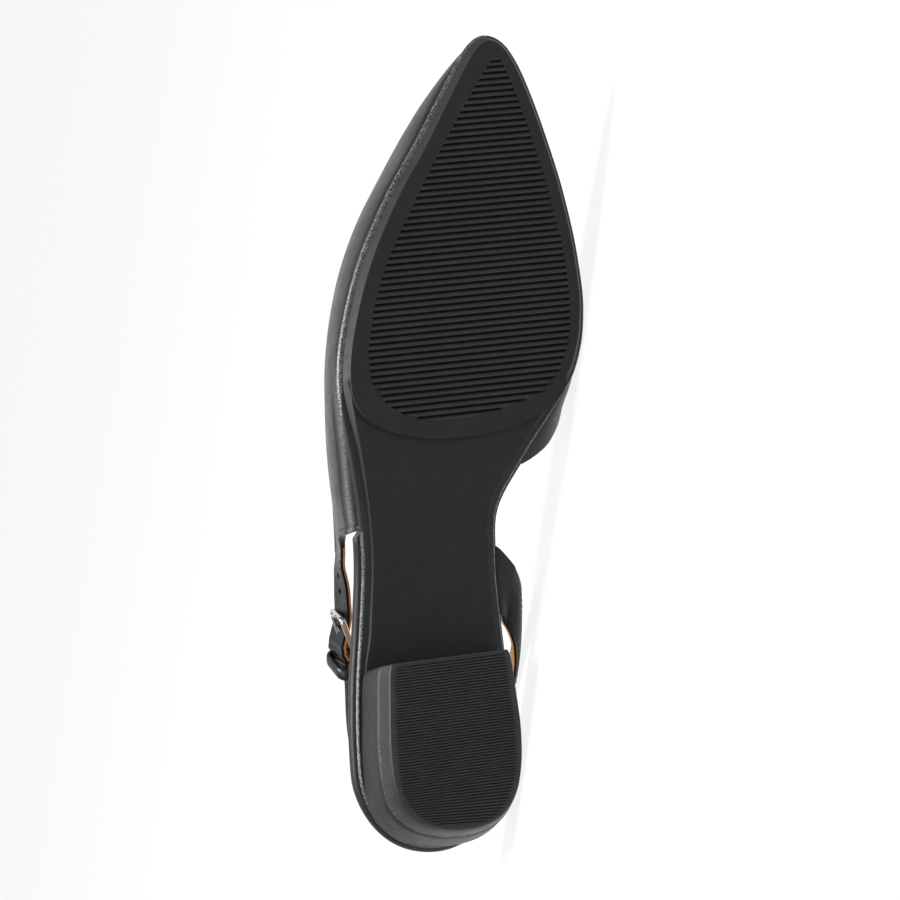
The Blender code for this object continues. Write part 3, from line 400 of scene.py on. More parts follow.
# Finishes: kind, colour, share of the colour, roughness, sheen, then scale and depth of a moulded grain.
FINISHES = {
    "smooth_leather": ("leather", "leather", 1.0, 0.33, 0.42),
    # Leather whose colour takes the painted highlight band of the upper's lasted mark.
    "lasted_leather": ("leather", "leather", 1.0, 0.33, 0.42),
    "dull_leather": ("leather", "leather", 1.0, 0.36, 0.06),
    "wrap_leather": ("leather", "leather", 1.0, 0.52, 0.4),
    "tan_lining": ("lining", "lining", 1.0, 0.62, 0.35),
    "tread_rubber": ("rubber", "rubber", 1.0, 0.58, 0.27, 2600.0, 0.03),
    # Lighter and darker copies of the rubber paint light on the ribs and shade in the grooves.
    "tread_rib": ("rubber", "rubber", 2.1, 0.52, 0.27, 2600.0, 0.03),
    "tread_groove": ("rubber", "rubber", 0.3, 0.75, 0.27, 2600.0, 0.03),
    # The lift's underside is painted lighter than its grooves.
    "lift_tread": ("rubber", "rubber", 2.7, 0.54, 0.27, 2600.0, 0.03),
    "sole_wall": ("rubber", "edge", 1.5, 0.58, 0.27, 2200.0, 0.05),
    # Edge colour with painted glints in its speckles.
    "grained_bead": ("bead", "edge", 1.0, 0.32, 0.5),
    "heel_satin": ("rubber", "edge", 1.3, 0.42, 0.27, 3000.0, 0.07),
    "lift_rubber_side": ("rubber", "edge", 2.2, 0.36, 0.27, 2400.0, 0.03),
    "polished_metal": ("metal", "metal", 1.0, 0.10, 0.5),
    "black_thread": ("thread", "thread", 1.0, 0.55, 0.5),
}


class SlingbackSizes(bpy.types.PropertyGroup):
    """Thicknesses and small repeats of the shoe's pieces"""

    upper_wall: FloatProperty(name="Upper wall", description="Thickness of the upper with its lining",
                              default=1.6 * MM, unit="LENGTH")
    strap_wall: FloatProperty(name="Strap wall", description="Thickness of the back strap with its lining",
                              default=1.4 * MM, unit="LENGTH")
    rib_pitch: FloatProperty(name="Tread rib pitch", description="From one rib of the tread to the next",
                             default=2.1 * MM, unit="LENGTH")
    rib_depth: FloatProperty(name="Tread groove depth", description="Depth of the grooves under the pad",
                             default=1.05 * MM, unit="LENGTH")
    lift_pitch: FloatProperty(name="Lift rib pitch", description="From one rib of the heel lift to the next",
                              default=0.93 * MM, unit="LENGTH")
    lift_depth: FloatProperty(name="Lift groove depth", description="Depth of the heel lift's grooves",
                              default=0.4 * MM, unit="LENGTH")
    edge_roll: FloatProperty(name="Edge roll", description="Swell of the folded edges of the upper",
                             default=0.45 * MM, unit="LENGTH")
    stitch_pitch: FloatProperty(name="Stitch pitch", description="From one stitch to the next",
                                default=2.3 * MM, unit="LENGTH")
    thread: FloatProperty(name="Thread", description="Thickness of the sewing thread",
                          default=0.3 * MM, unit="LENGTH")


class SlingbackColours(bpy.types.PropertyGroup):
    """Colours of the shoe's materials"""

    leather: FloatVectorProperty(name="Leather", description="Smooth black leather", subtype="COLOR",
                                 default=(0.005, 0.005, 0.0052), min=0.0, max=1.0)
    lining: FloatVectorProperty(name="Lining", description="Tan lining and sock", subtype="COLOR",
                                default=(0.46, 0.235, 0.088), min=0.0, max=1.0)
    rubber: FloatVectorProperty(name="Rubber", description="Matte rubber of the underside", subtype="COLOR",
                                default=(0.0092, 0.0090, 0.0094), min=0.0, max=1.0)
    edge: FloatVectorProperty(name="Sole edge", description="Satin edge of the sole and the heel", subtype="COLOR",
                              default=(0.012, 0.012, 0.0125), min=0.0, max=1.0)
    metal: FloatVectorProperty(name="Metal", description="Polished metal of the buckle", subtype="COLOR",
                               default=(0.66, 0.65, 0.63), min=0.0, max=1.0)
    thread: FloatVectorProperty(name="Thread", description="Black sewing thread", subtype="COLOR",
                                default=(0.018, 0.018, 0.019), min=0.0, max=1.0)
    floor: FloatVectorProperty(name="Floor", description="Pale studio floor", subtype="COLOR",
                               default=(0.10, 0.10, 0.10), min=0.0, max=1.0)


def through(knots, values, at):
    """Smooth curve through table rows: cubic pieces whose slopes blend the chords on both sides."""
    knots = np.asarray(knots, float)
    values = np.asarray(values, float)
    at = np.asarray(at, float)
    step = np.diff(knots)
    chord = np.diff(values) / step
    slope = np.empty_like(values)
    slope[1:-1] = (chord[:-1] * step[1:] + chord[1:] * step[:-1]) / (step[1:] + step[:-1])
    slope[0] = 1.5 * chord[0] - 0.5 * slope[1]
    slope[-1] = 1.5 * chord[-1] - 0.5 * slope[-2]
    k = np.clip(np.searchsorted(knots, at, side="right") - 1, 0, len(step) - 1)
    t = np.clip((at - knots[k]) / step[k], 0.0, 1.0)
    low = (1 + 2 * t) * (1 - t) ** 2 * values[k] + t * (1 - t) ** 2 * step[k] * slope[k]
    high = t * t * (3 - 2 * t) * values[k + 1] + t * t * (t - 1) * step[k] * slope[k + 1]
    return low + high


def height(table, x):
    """Height at a station, from a table of station and height."""
    rows = np.asarray(table)
    return through(rows[:, 0], rows[:, 1], x)


def ease(x, low, high):
    """Soft step from 0 at low to 1 at high."""
    t = np.clip((np.asarray(x, float) - low) / (high - low), 0.0, 1.0)
    return t * t * (3 - 2 * t)


def between(x, rise, fall):
    """Soft plateau: up from 0 to 1 over the first range, down again over the second."""
    return ease(x, *rise) * (1 - ease(x, *fall))


def bell(x, at, breadth):
    """Bell of height one round a place."""
    return np.exp(-((x - at) / breadth) ** 2)


def distance(points, axis=0):
    """Distance of each point from the first of its line; the lines run along the given axis."""
    step = np.linalg.norm(np.diff(points, axis=axis), axis=-1)
    return np.insert(np.cumsum(step, axis), 0, 0.0, axis)


def across(left, right, columns):
    """Grid between two lines of points, at shares of the way from one to the other."""
    columns = np.asarray(columns)[..., None]
    return left[:, None] * (1 - columns) + right[:, None] * columns


def groove_share(table, phase):
    """Share of a groove's depth at a phase of a rib: straight lines through its table and back to the start."""
    rows = np.array([*table, (1.0, table[0][1])])
    return np.interp(phase, rows[:, 0], rows[:, 1])


def circle(count):
    """Points of a circle of radius one, even round it."""
    turn = np.arange(count) * 2 * np.pi / count
    return np.stack([np.cos(turn), np.sin(turn)], 1)


def outward(face):
    """Directions of a wall as units that point out of the shoe at the grid's last corner, on the inner side."""
    face = unit(face)
    return -face if face[-1, 0, 1] < 0 else face


def close_round(outer, inner):
    """Rings round a plan from the rings of its outer and inner sides, joined at the back and at the toe."""
    inner[:, 0], inner[:, -1] = outer[:, 0], outer[:, -1]
    return np.concatenate([outer, inner[:, ::-1][:, 1:]], 1)


def half_turn(table, x):
    """Half turn round a plan that reaches a station: 0 at its back, pi at its front."""
    first, last = table[0][0], table[-1][0]
    return np.arccos(np.clip(1 - 2 * (np.asarray(x, float) - first) / (last - first), -1, 1))


def plan(table, turn, out=0.0):
    """Point of a plan at a turn round it, outer side first, moved outwards square to the edge."""
    rows = np.asarray(table)
    knots = half_turn(table, rows[:, 0])

    def bare(at):
        at = np.mod(at, 2 * np.pi)
        half = np.where(at <= np.pi, at, 2 * np.pi - at)
        x = rows[0, 0] + (rows[-1, 0] - rows[0, 0]) * (1 - np.cos(half)) / 2
        side = np.where(at <= np.pi, through(knots, rows[:, 1], half), through(knots, rows[:, 2], half))
        return np.stack([x, side], -1)

    turn = np.asarray(turn, float)
    run = bare(turn + 1e-3) - bare(turn - 1e-3)
    across = np.stack([run[..., 1], -run[..., 0]], -1)
    across /= np.linalg.norm(across, axis=-1, keepdims=True)
    return bare(turn) + across * np.broadcast_to(out, turn.shape)[..., None]


def plan_side(table, x, column):
    """Outer (column 1) or inner (column 2) edge of a plan at a station."""
    rows = np.asarray(table)
    return through(half_turn(table, rows[:, 0]), rows[:, column], half_turn(table, x))


def unit(vectors):
    """Vectors scaled to length one."""
    return vectors / np.linalg.norm(vectors, axis=-1, keepdims=True)


def normals(grid):
    """Unit normals of a grid of points, from the differences along its two directions."""
    return unit(np.cross(np.gradient(grid, axis=0), np.gradient(grid, axis=1)))


def rest_turn():
    """Rows of the turn that lays the shoe down: along the toe, across, and up from the floor."""
    down = np.array(REST_DOWN)
    toe = unit(np.array([1.0, 0.0, 0.0]) - down[0] * down)
    return np.stack([toe, np.cross(-down, toe), -down])


def lay(points):
    """Upright points in millimetres, laid into the resting frame in metres."""
    return np.asarray(points) * MM @ rest_turn().T + np.array(REST_SHIFT)


def grid_faces(rows, columns):
    """Quads of a grid of points numbered row by row."""
    spot = np.arange(rows * columns).reshape(rows, columns)
    return np.stack([spot[:-1, :-1], spot[1:, :-1], spot[1:, 1:], spot[:-1, 1:]], -1).reshape(-1, 4)


def weld(points, faces):
    """Numbers of the points that stay when those sharing a place are joined, and the quads on them."""
    used, faces = np.unique(faces, return_inverse=True)
    _, first, place = np.unique(np.round(points[used], 4), axis=0, return_index=True, return_inverse=True)
    return used[first], place.reshape(-1)[faces.reshape(-1, 4)]


def make_piece(name, body, finishes, node, sharp, marks=()):
    """Makes one piece from a body: upright points, quads and the number of each quad's finish.

    Quads with two joined corners become triangles, quads with fewer corners are dropped. Edges that turn by more
    than the sharp angle stay crisp. Marks are pairs of a name and a value for each point, kept for the finish.
    """
    points, faces, choice = body
    kept, faces = weld(points, faces)
    twin = faces == np.roll(faces, -1, axis=1)
    whole, three = ~twin.any(1), twin.sum(1) == 1
    corner = (np.argmax(twin[three], axis=1)[:, None] + np.array([1, 2, 3])) % 4
    triangles = np.take_along_axis(faces[three], corner, axis=1)
    mesh = bpy.data.meshes.new(name)
    mesh.from_pydata(lay(points[kept]).tolist(), [], faces[whole].tolist() + triangles.tolist())
    for each in finishes:
        mesh.materials.append(finish(each))
    mesh.polygons.foreach_set("material_index", np.concatenate([choice[whole], choice[three]]).astype(np.int32))
    shape = bmesh.new()
    shape.from_mesh(mesh)
    bmesh.ops.recalc_face_normals(shape, faces=shape.faces)
    shape.to_mesh(mesh)
    shape.free()
    for mark, values in marks:
        mesh.attributes.new(mark, "FLOAT", "POINT").data.foreach_set("value", values[kept].astype(np.float32))
    mesh.shade_smooth()
    mesh.set_sharp_from_angle(angle=math.radians(sharp))
    piece = bpy.data.objects.new(name, mesh)
    bpy.context.scene.collection.objects.link(piece)
    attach(piece, "root")
    if node:
        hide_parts(node)
    return piece


def join_sheets(*sheets):
    """One body from several grids, each given with the finish number of its cells."""
    starts = np.cumsum([0] + [grid.shape[0] * grid.shape[1] for grid, _ in sheets])
    points = np.concatenate([grid.reshape(-1, 3) for grid, _ in sheets])
    faces = np.concatenate([grid_faces(*grid.shape[:2]) + start for (grid, _), start in zip(sheets, starts)])
    choice = [np.broadcast_to(pick, (grid.shape[0] - 1, grid.shape[1] - 1)).reshape(-1) for grid, pick in sheets]
    return points, faces, np.concatenate(choice)


def shell(outer, inner, cells, rim_finish):
    """Body of a closed wall between two grids over the chosen cells; free rims are two strips, parted at 55 %.

    Finish 0 lies outside and on the first strip, 1 inside; on the second strip rim_finish gives it for each cell.
    """
    rows, columns = outer.shape[:2]
    count = rows * columns
    points = np.concatenate([grid.reshape(-1, 3) for grid in (outer, inner, 0.45 * outer + 0.55 * inner)])
    chosen = cells.reshape(-1)
    quads = grid_faces(rows, columns)[chosen]
    faces = [quads, quads[:, ::-1] + count]
    choice = [np.zeros(len(quads), int), np.ones(len(quads), int)]
    wide = np.pad(cells, 1)
    for step, corner in (((0, -1), (0, 1)), ((1, 0), (1, 2)), ((0, 1), (2, 3)), ((-1, 0), (3, 0))):
        beside = np.roll(wide, (-step[0], -step[1]), (0, 1))[1:-1, 1:-1]
        free = (cells & ~beside).reshape(-1)[chosen]
        a, b = quads[free][:, corner].T
        faces.append(np.stack([b, a, a + 2 * count, b + 2 * count], 1))
        faces.append(np.stack([b + 2 * count, a + 2 * count, a + count, b + count], 1))
        choice += [np.zeros(free.sum(), int), rim_finish.reshape(-1)[chosen][free]]
    return points, np.concatenate(faces), np.concatenate(choice)


def tube(path, side, up, profile, closed):
    """Grid of a profile of side and up offsets carried along a path of points with two directions."""
    grid = path[:, None] + profile[None, :, :1] * side[:, None] + profile[None, :, 1:] * up[:, None]
    grid = np.concatenate([grid, grid[:, :1]], 1)
    if closed:
        return np.concatenate([grid, grid[:1]], 0)
    ends = np.repeat(path[:, None], grid.shape[1], 1)
    return np.concatenate([ends[:1], grid, ends[-1:]], 0)


def soften(piece, width):
    """Rounds the sharp rims of a piece with a live bevel."""
    bevel = piece.modifiers.new("rim", "BEVEL")
    bevel.width = width * MM
    bevel.segments = 3
    bevel.limit_method = "ANGLE"
    bevel.angle_limit = math.radians(50.0)
    bevel.use_clamp_overlap = True


class Surface:
    """A material with a Principled shader, built node by node on Object coordinates."""

    def __init__(self, name, colour, rough, sheen, metal=0.0):
        self.made = bpy.data.materials.new(name)
        self.made.use_nodes = True
        self.tree = self.made.node_tree
        self.shader = self.tree.nodes["Principled BSDF"]
        self.feed(self.shader, {"Base Color": (*colour, 1.0), "Roughness": rough, "Metallic": metal,
                                "Specular IOR Level": sheen})
        self.where = self.node("TexCoord", "Object", {})
        self.bump = None

    def feed(self, node, inputs):
        """Gives a node's inputs their numbers, colours or sockets."""
        for key, value in inputs.items():
            if isinstance(value, bpy.types.NodeSocket):
                self.tree.links.new(value, node.inputs[key])
            else:
                node.inputs[key].default_value = value

    def node(self, kind, output, inputs, **choices):
        """Adds a node of a kind with its inputs and choices; returns one of its outputs."""
        node = self.tree.nodes.new("ShaderNode" + kind)
        for key, value in choices.items():
            setattr(node, key, value)
        self.feed(node, inputs)
        return node.outputs[output]

    def pattern(self, scale, detail=None, rough=None):
        """A noise of a scale, detail and roughness, or cells where only a scale is given."""
        inputs = {"Scale": scale, "Vector": self.where}
        if detail is None:
            return self.node("TexVoronoi", "Distance", inputs)
        return self.node("TexNoise", "Fac", {**inputs, "Detail": detail, "Roughness": rough})

    def spread(self, value, low, high):
        """Maps the middle of a 0 to 1 pattern to a range of values."""
        return self.node("MapRange", "Result", {"Value": value, "From Min": EVEN[0], "From Max": EVEN[1],
                                                "To Min": low, "To Max": high})

    def tint(self, value, low, high, ends):
        """Colours the surface by a pattern, turning from one colour to another between two of its values."""
        colour = self.node("ValToRGB", "Color", {"Fac": value})
        for element, position, shade_there in zip(colour.node.color_ramp.elements, ends, (low, high)):
            element.position = position
            element.color = (*shade_there, 1.0)
        self.feed(self.shader, {"Base Color": colour})

    def raise_by(self, value, strength, depth):
        """Adds a bump of a depth in millimetres on top of the earlier ones."""
        below = {"Normal": self.bump} if self.bump else {}
        self.bump = self.node("Bump", "Normal", {"Strength": strength, "Distance": depth * MM, "Height": value,
                                                 **below})
        self.feed(self.shader, {"Normal": self.bump})

    def paint_highlight(self, sheen):
        """Paints a highlight into the leather's colour as a lighter grainy grey where the upper's lasted mark says
        so, and dulls its sheen where its shaded mark says so.
        """
        def marked(kind, first, mark):
            value = self.node("Attribute", "Fac", {}, attribute_name=mark)
            return self.node("Math", "Value", {0: first, 1: value}, operation=kind)

        # A fine noise times the lasted mark mixes the highlight grey into the colour: a painted highlight with a
        # grainy break-up.
        grain = marked("MULTIPLY", self.spread(self.pattern(*HIGHLIGHT_SPECKLE), 0.0, 1.0), "lasted")
        base = self.shader.inputs["Base Color"].links[0].from_socket
        mixed = self.node("Mix", 2, {0: grain, 6: base, 7: (*HIGHLIGHT_GREY, 1.0)}, data_type="RGBA")
        dulled = self.node("Math", "Value", {0: sheen, 1: marked("SUBTRACT", 1.0, "shaded")}, operation="MULTIPLY")
        self.feed(self.shader, {"Base Color": mixed, "Specular IOR Level": dulled})


def shade(colour, share):
    """A colour made lighter or darker by a share."""
    return tuple(min(1.0, c * share) for c in colour)


def finish(name):
    """The shared finish of that name, made from its rows in the tables when it is first asked for."""
    if name in bpy.data.materials:
        return bpy.data.materials[name]
    kind, colour, share, rough, sheen, *moulded = FINISHES[name]
    colour = shade(getattr(bpy.context.scene.slingback_colours, colour), share)
    made = Surface(name, colour, rough, sheen, float(kind == "metal"))
    grain = KINDS[kind]
    if "tint" in grain:
        pattern, (dark, light), ends = grain["tint"]
        made.tint(made.pattern(*pattern), shade(colour, dark), shade(colour, light), ends)
    if "gloss" in grain:
        pattern, (low, high) = grain["gloss"]
        made.feed(made.shader, {"Roughness": made.spread(made.pattern(*pattern), rough + low, rough + high)})
    bumps = grain.get("bumps", ())
    if moulded:
        bumps = (((moulded[0], *MOULDED[:2]), MOULDED[2], moulded[1]),)
    for pattern, strength, depth in bumps:
        made.raise_by(made.pattern(*pattern), strength, depth)
    # The upper's leather gets the painted highlight band mixed into its colour.
    if name == "lasted_leather":
        made.paint_highlight(sheen)
    return made.made


def pad_edge(y):
    """Station of the tread pad's back edge: a slanted line bowed back by a half ellipse."""
    share = np.clip((y - PAD_SIDES[0]) / (PAD_SIDES[1] - PAD_SIDES[0]), 0.0, 1.0)
    skewed = share ** PAD_SKEW
    return PAD_BACK[0] + (PAD_BACK[1] - PAD_BACK[0]) * share - PAD_BOW * np.sqrt(4 * skewed * (1 - skewed))


def sole_under(x):
    """Underside of the outsole without its tread pad: the waist's height, rising with the pad towards the toe."""
    return height(SHANK, x) + height(PAD, x) * ease(x, *SPRING_STATIONS)


def field_depth(x, y):
    """Distance inside the sunk field's outline, negative outside: the nearest of the outline's points."""
    turn = np.linspace(0.0, 2 * np.pi, 241)[:-1]
    rim = plan(FIELD_PLAN, turn)
    spots = np.stack([x, y], -1).reshape(-1, 2)
    near = np.concatenate([np.sqrt(((part[:, None] - rim[None]) ** 2).sum(-1)).min(1)
                           for part in np.array_split(spots, 40)]).reshape(x.shape)
    inside = (y > plan_side(FIELD_PLAN, x, 1)) & (y < plan_side(FIELD_PLAN, x, 2))
    inside &= (x > FIELD_PLAN[0][0]) & (x < FIELD_PLAN[-1][0])
    return np.where(inside, near, -near)


def sole_ring(turn, profile):
    """Rings of the outsole's edge: insets and heights of the edge table, blurred along the table."""
    station = plan(SOLE_PLAN, turn)[:, 0]
    back = 1 - ease(station, *HEEL_STATIONS)
    early, late = (np.stack([fore, 1 - fore - back, back], 1)
                   for fore in (ease(station, *FORE_STATIONS), ease(station, *PAD_STATIONS)))
    outer = between(turn, *SWELL_TURNS)
    rings = []
    for k, row in enumerate(SOLE_EDGE):
        out, up = BEAD_SWELL.get(k, (0.0, 0.0))
        mix = late if k < RISING_ROWS else early
        spot = plan(SOLE_PLAN, turn, out * outer - mix @ np.array(row[:3]))
        shift = mix @ np.array(row[3:]) - up * outer
        level = sole_under(spot[:, 0]) + shift if k < RISING_ROWS else height(SEAT, spot[:, 0]) - shift
        rings.append(np.column_stack([spot, level]))
    rings = np.array(rings)
    last = len(SOLE_EDGE) - 1
    nudge = np.linspace(-EDGE_SOFTNESS, EDGE_SOFTNESS, 5)[:, None] * (profile > 0) * (profile < last)
    at = np.clip(profile + nudge, 0, last - 0.001)
    low = at.astype(int)
    share = (at - low)[..., None, None]
    return (rings[low] * (1 - share) + rings[low + 1] * share).mean(0)


def sole_body():
    """Sheets of the outsole without its pad: edge profile carried round the plan, smooth underside and top."""
    half = np.linspace(0.0, np.pi, 301)
    last = len(SOLE_EDGE) - 1
    profile = np.unique(np.arange(last + 1)[:, None] + np.array(EDGE_STEPS))
    profile = profile[(profile >= 0) & (profile <= last)]
    outer, inner = sole_ring(half, profile), sole_ring(2 * np.pi - half, profile)
    wall = close_round(outer, inner)
    rows = (profile[:-1, None] + profile[1:, None]) / 2
    station = wall[-1, :-1, 0]
    covered = (np.arange(len(station)) < len(half)) & (station > BEAD_UNDER_UPPER)
    bead = np.where(covered, np.interp(station, *BEAD_TAPER), WALL_ROWS[1])
    bead = np.where(covered & (station < BEAD_TAPER[0][0]), last + 1, bead)
    # Bead rows take the finish with painted glints; under the upper near the waist they keep the plain wall finish.
    wall_finish = np.where(rows < WALL_ROWS[0], 0, np.where(rows < bead, 1, 2))
    bottom = across(outer[0], inner[0], np.linspace(0.0, 1.0, 17))
    bottom[:, 1:-1, 2] = sole_under(bottom[:, 1:-1, 0])
    return (wall, wall_finish), (bottom, 0), (across(outer[-1], inner[-1], (0.0, 0.5, 1.0)), 1)


def pad_sides():
    """Outer and inner sides of the pad's outline by rising station: bowed back edge, then the sole's edge."""
    y = np.linspace(*PAD_SIDES, 601)
    back = np.stack([pad_edge(y), y], 1)
    pole = back[:, 0].argmin()
    half = half_turn(SOLE_PLAN, np.linspace(140.0, SOLE_PLAN[-1][0], 700))
    sides = []
    for edge, turn in ((back[:pole + 1][::-1], half), (back[pole:], 2 * np.pi - half)):
        ring = plan(SOLE_PLAN, turn, -PAD_INSET)
        ring = ring[(ring[:, 0] > edge[-1, 0] + 0.4) & (np.gradient(ring[:, 0]) > 0)]
        sides.append(np.concatenate([edge, ring]))
    tip = plan(SOLE_PLAN, np.array([np.pi]), -PAD_INSET)
    return [np.concatenate([side[side[:, 0] < tip[0, 0] - 0.01], tip]) for side in sides]


def pad_rows(first, last, pitch):
    """Places of the pad's rows: close at its back, then the breaks of each rib, then close at its tip."""
    begin = first + RIB_FIRST[0] * pitch + RIB_FIRST[1]
    count = int((RIB_LAST - begin) / pitch)
    ribs = (begin + pitch * (np.arange(count)[:, None] + np.array(RIB)[:, 0])).reshape(-1)
    back = begin - (begin - first) * np.cos(np.linspace(0.0, np.pi / 2, 18))[:-1]
    tip = ribs[-1] + (last - ribs[-1]) * np.sin(np.linspace(0.0, np.pi / 2, 22)[1:])
    return np.concatenate([back, ribs, tip]), begin


def pad_ends(outlines, places):
    """Outer and inner ends of the pad's rows: slanted lines through the places, met with the outline's sides."""
    (first, last), tips = outlines[0][[0, -1], 0], outlines[0][[0, -1]]
    slant = RIB_SLANT * between(places, (first, first + 5.0), (SLANT_END, last - 1.0))
    ends = []
    for outline in outlines:
        station = places.copy()
        for _ in range(6):
            side = np.interp(station, outline[:, 0], outline[:, 1])
            station = np.clip(places + slant * (side - RIB_MIDDLE), first, last)
        end = np.stack([station, np.interp(station, outline[:, 0], outline[:, 1])], 1)
        end[[0, -1]] = tips
        ends.append(end)
    return ends


def pad_shares(places, left, right):
    """Shares across the pad's rows: close beside the sunk field's two edges, even between them, spread outside."""
    width = np.maximum(right[:, 1:] - left[:, 1:], 1e-6)
    on_field = between(places, *FIELD_ENDS)[:, None]
    middle = np.clip(places, FIELD_PLAN[0][0], FIELD_PLAN[-1][0])
    low, high = (on_field * (plan_side(FIELD_PLAN, middle, k)[:, None] - left[:, 1:]) / width
                 + (1 - on_field) * FIELD_SHARES[k - 1] for k in (1, 2))
    near = np.array(BESIDE_RIM)
    share = np.concatenate([
        low * np.array(OUTER_MARGIN),
        low + near * np.clip(low * width / 8, 0.02, 1.0) / width,
        low + (high - low) * np.linspace(0.035, 0.965, 32),
        high + near * np.clip((1 - high) * width / 8, 0.02, 1.0) / width,
        high + (1 - high) * np.array(INNER_MARGIN),
    ], 1)
    return np.clip(np.maximum.accumulate(share, 1), 0.0, 1.0)


def pad_wall(left, right):
    """Side of the pad: its outline carried up to the outsole, spread by the side's table."""
    loop = np.concatenate([left, right[::-1][1:-1]])
    run = np.roll(loop, -1, 0) - np.roll(loop, 1, 0)
    away = unit(np.stack([run[:, 1], -run[:, 0]], 1))
    away = away if (away * (loop - loop.mean(0))).sum() > 0 else -away
    front = ease(loop[:, 0], *PAD_FRONT)[:, None]
    base = height(PAD, loop[:, 0])
    rise = sole_under(loop[:, 0]) + PAD_SUNK - base
    wall = np.array([np.column_stack([loop + away * (back + (fore - back) * front), base + rise * share])
                     for fore, back, share in PAD_SIDE])
    return np.concatenate([wall, wall[:, :1]], 1)


def pad_sheets(pitch, depth):
    """Sheets of the tread pad: rows across it that follow its ribs, its side, and a plain top inside the outsole."""
    outlines = pad_sides()
    first, last = outlines[0][[0, -1], 0]
    places, begin = pad_rows(first, last, pitch)
    left, right = pad_ends(outlines, places)
    spot = across(left, right, pad_shares(places, left, right))
    phase = np.mod((places - first) / pitch, 1.0)
    on_ribs = places > begin - 0.1 * pitch
    groove = groove_share(RIB, phase) * on_ribs
    sunk = ease(field_depth(spot[..., 0], spot[..., 1]), *FIELD_RIM)
    level = height(PAD, spot[..., 0]) + sunk * groove[:, None] * depth
    bottom = np.concatenate([spot, level[..., None]], -1)
    # Painted light and shade on the ribs: the deep part of each groove takes a darker rubber for painted shade, the
    # rest of the rib's first half a lighter one for painted light, the rest the plain rubber.
    ribbed = (sunk[:-1, :-1] + sunk[1:, 1:] > 1.0) & on_ribs[:-1, None]
    deep = (groove[:-1] + groove[1:] > 0.9)[:, None]
    lit_half = (phase[:-1] < 0.5)[:, None]
    tread = np.where(ribbed, np.where(deep, 3, np.where(lit_half, 4, 0)), 0)
    wall = pad_wall(left, right)
    count = len(places)
    top = np.stack([wall[-1, :count], wall[-1, ::-1][:count]], 1)
    wall_finish = np.where(np.arange(len(PAD_SIDE) - 1) < 1, 0, 1)[:, None]
    return (bottom, tread), (wall, wall_finish), (top, 0)


def make_outsole(sizes):
    """Outsole: its moulded body and the ribbed tread pad let into it."""
    body = join_sheets(*sole_body(), *pad_sheets(sizes.rib_pitch / MM, sizes.rib_depth / MM))
    finishes = ("tread_rubber", "sole_wall", "grained_bead", "tread_groove", "tread_rib")
    make_piece("outsole_moulded", body, finishes, "outsole", 32.0)


def heel_ring(shares, level, inset):
    """Outer and inner sides of the heel's plan at a height: half widths of a table, flared and leaned by it."""
    rise = (level / HEEL_TOP) ** FLARE_POWER
    rows = np.array(HEEL_PLAN)
    reach = rows[-1, 0]
    from_back = reach * shares
    knots = np.arccos(1 - 2 * rows[:, 0] / reach)
    wide = through(knots, rows[:, 1], np.arccos(np.clip(1 - 2 * shares, -1, 1))) * (1 + (HEEL_FLARE - 1) * rise)
    back = HEEL_BACK - HEEL_LEAN * rise
    x = back + (HEEL_BREAST - back) * shares
    slant = BREAST_SLANT * ease(from_back, 0.0, SLANT_REACH)
    swing = HEEL_SWING * (1 - ease(x, *SWING_STATIONS))
    ring = np.stack([np.stack([x - wide * slant, -wide - swing], 1), np.stack([x + wide * slant, wide - swing], 1)])
    return ring - unit(ring - np.array(HEEL_MIDDLE)) * inset


def heel_sheets(rows, shares, columns, under, over):
    """Wall, underside and top of a heel piece from rows of height and inset; functions give the caps' heights."""
    rings = []
    for level, inset in rows:
        outer, inner = heel_ring(shares, HEEL_TOP if level is None else level, inset)
        breast = outer[-1] + (inner[-1] - outer[-1]) * columns[1:-1, None]
        ring = np.concatenate([outer, breast, inner[::-1]])
        z = height(SHANK, ring[:, 0]) - TOUCH if level is None else np.full(len(ring), level)
        rings.append(np.column_stack([ring, z]))
    wall = np.array(rings)
    count = len(shares)
    caps = []
    for ring, lift in ((wall[0], under), (wall[-1], over)):
        left, right = ring[:count], ring[::-1][:count]
        cap = across(left, right, columns)
        cap[..., 2] = lift(cap, cap[..., 2])
        cap[:, 0], cap[:, -1] = left, right
        cap[-1] = ring[count - 1:count - 1 + len(columns)]
        caps.append(cap)
    return wall, *caps


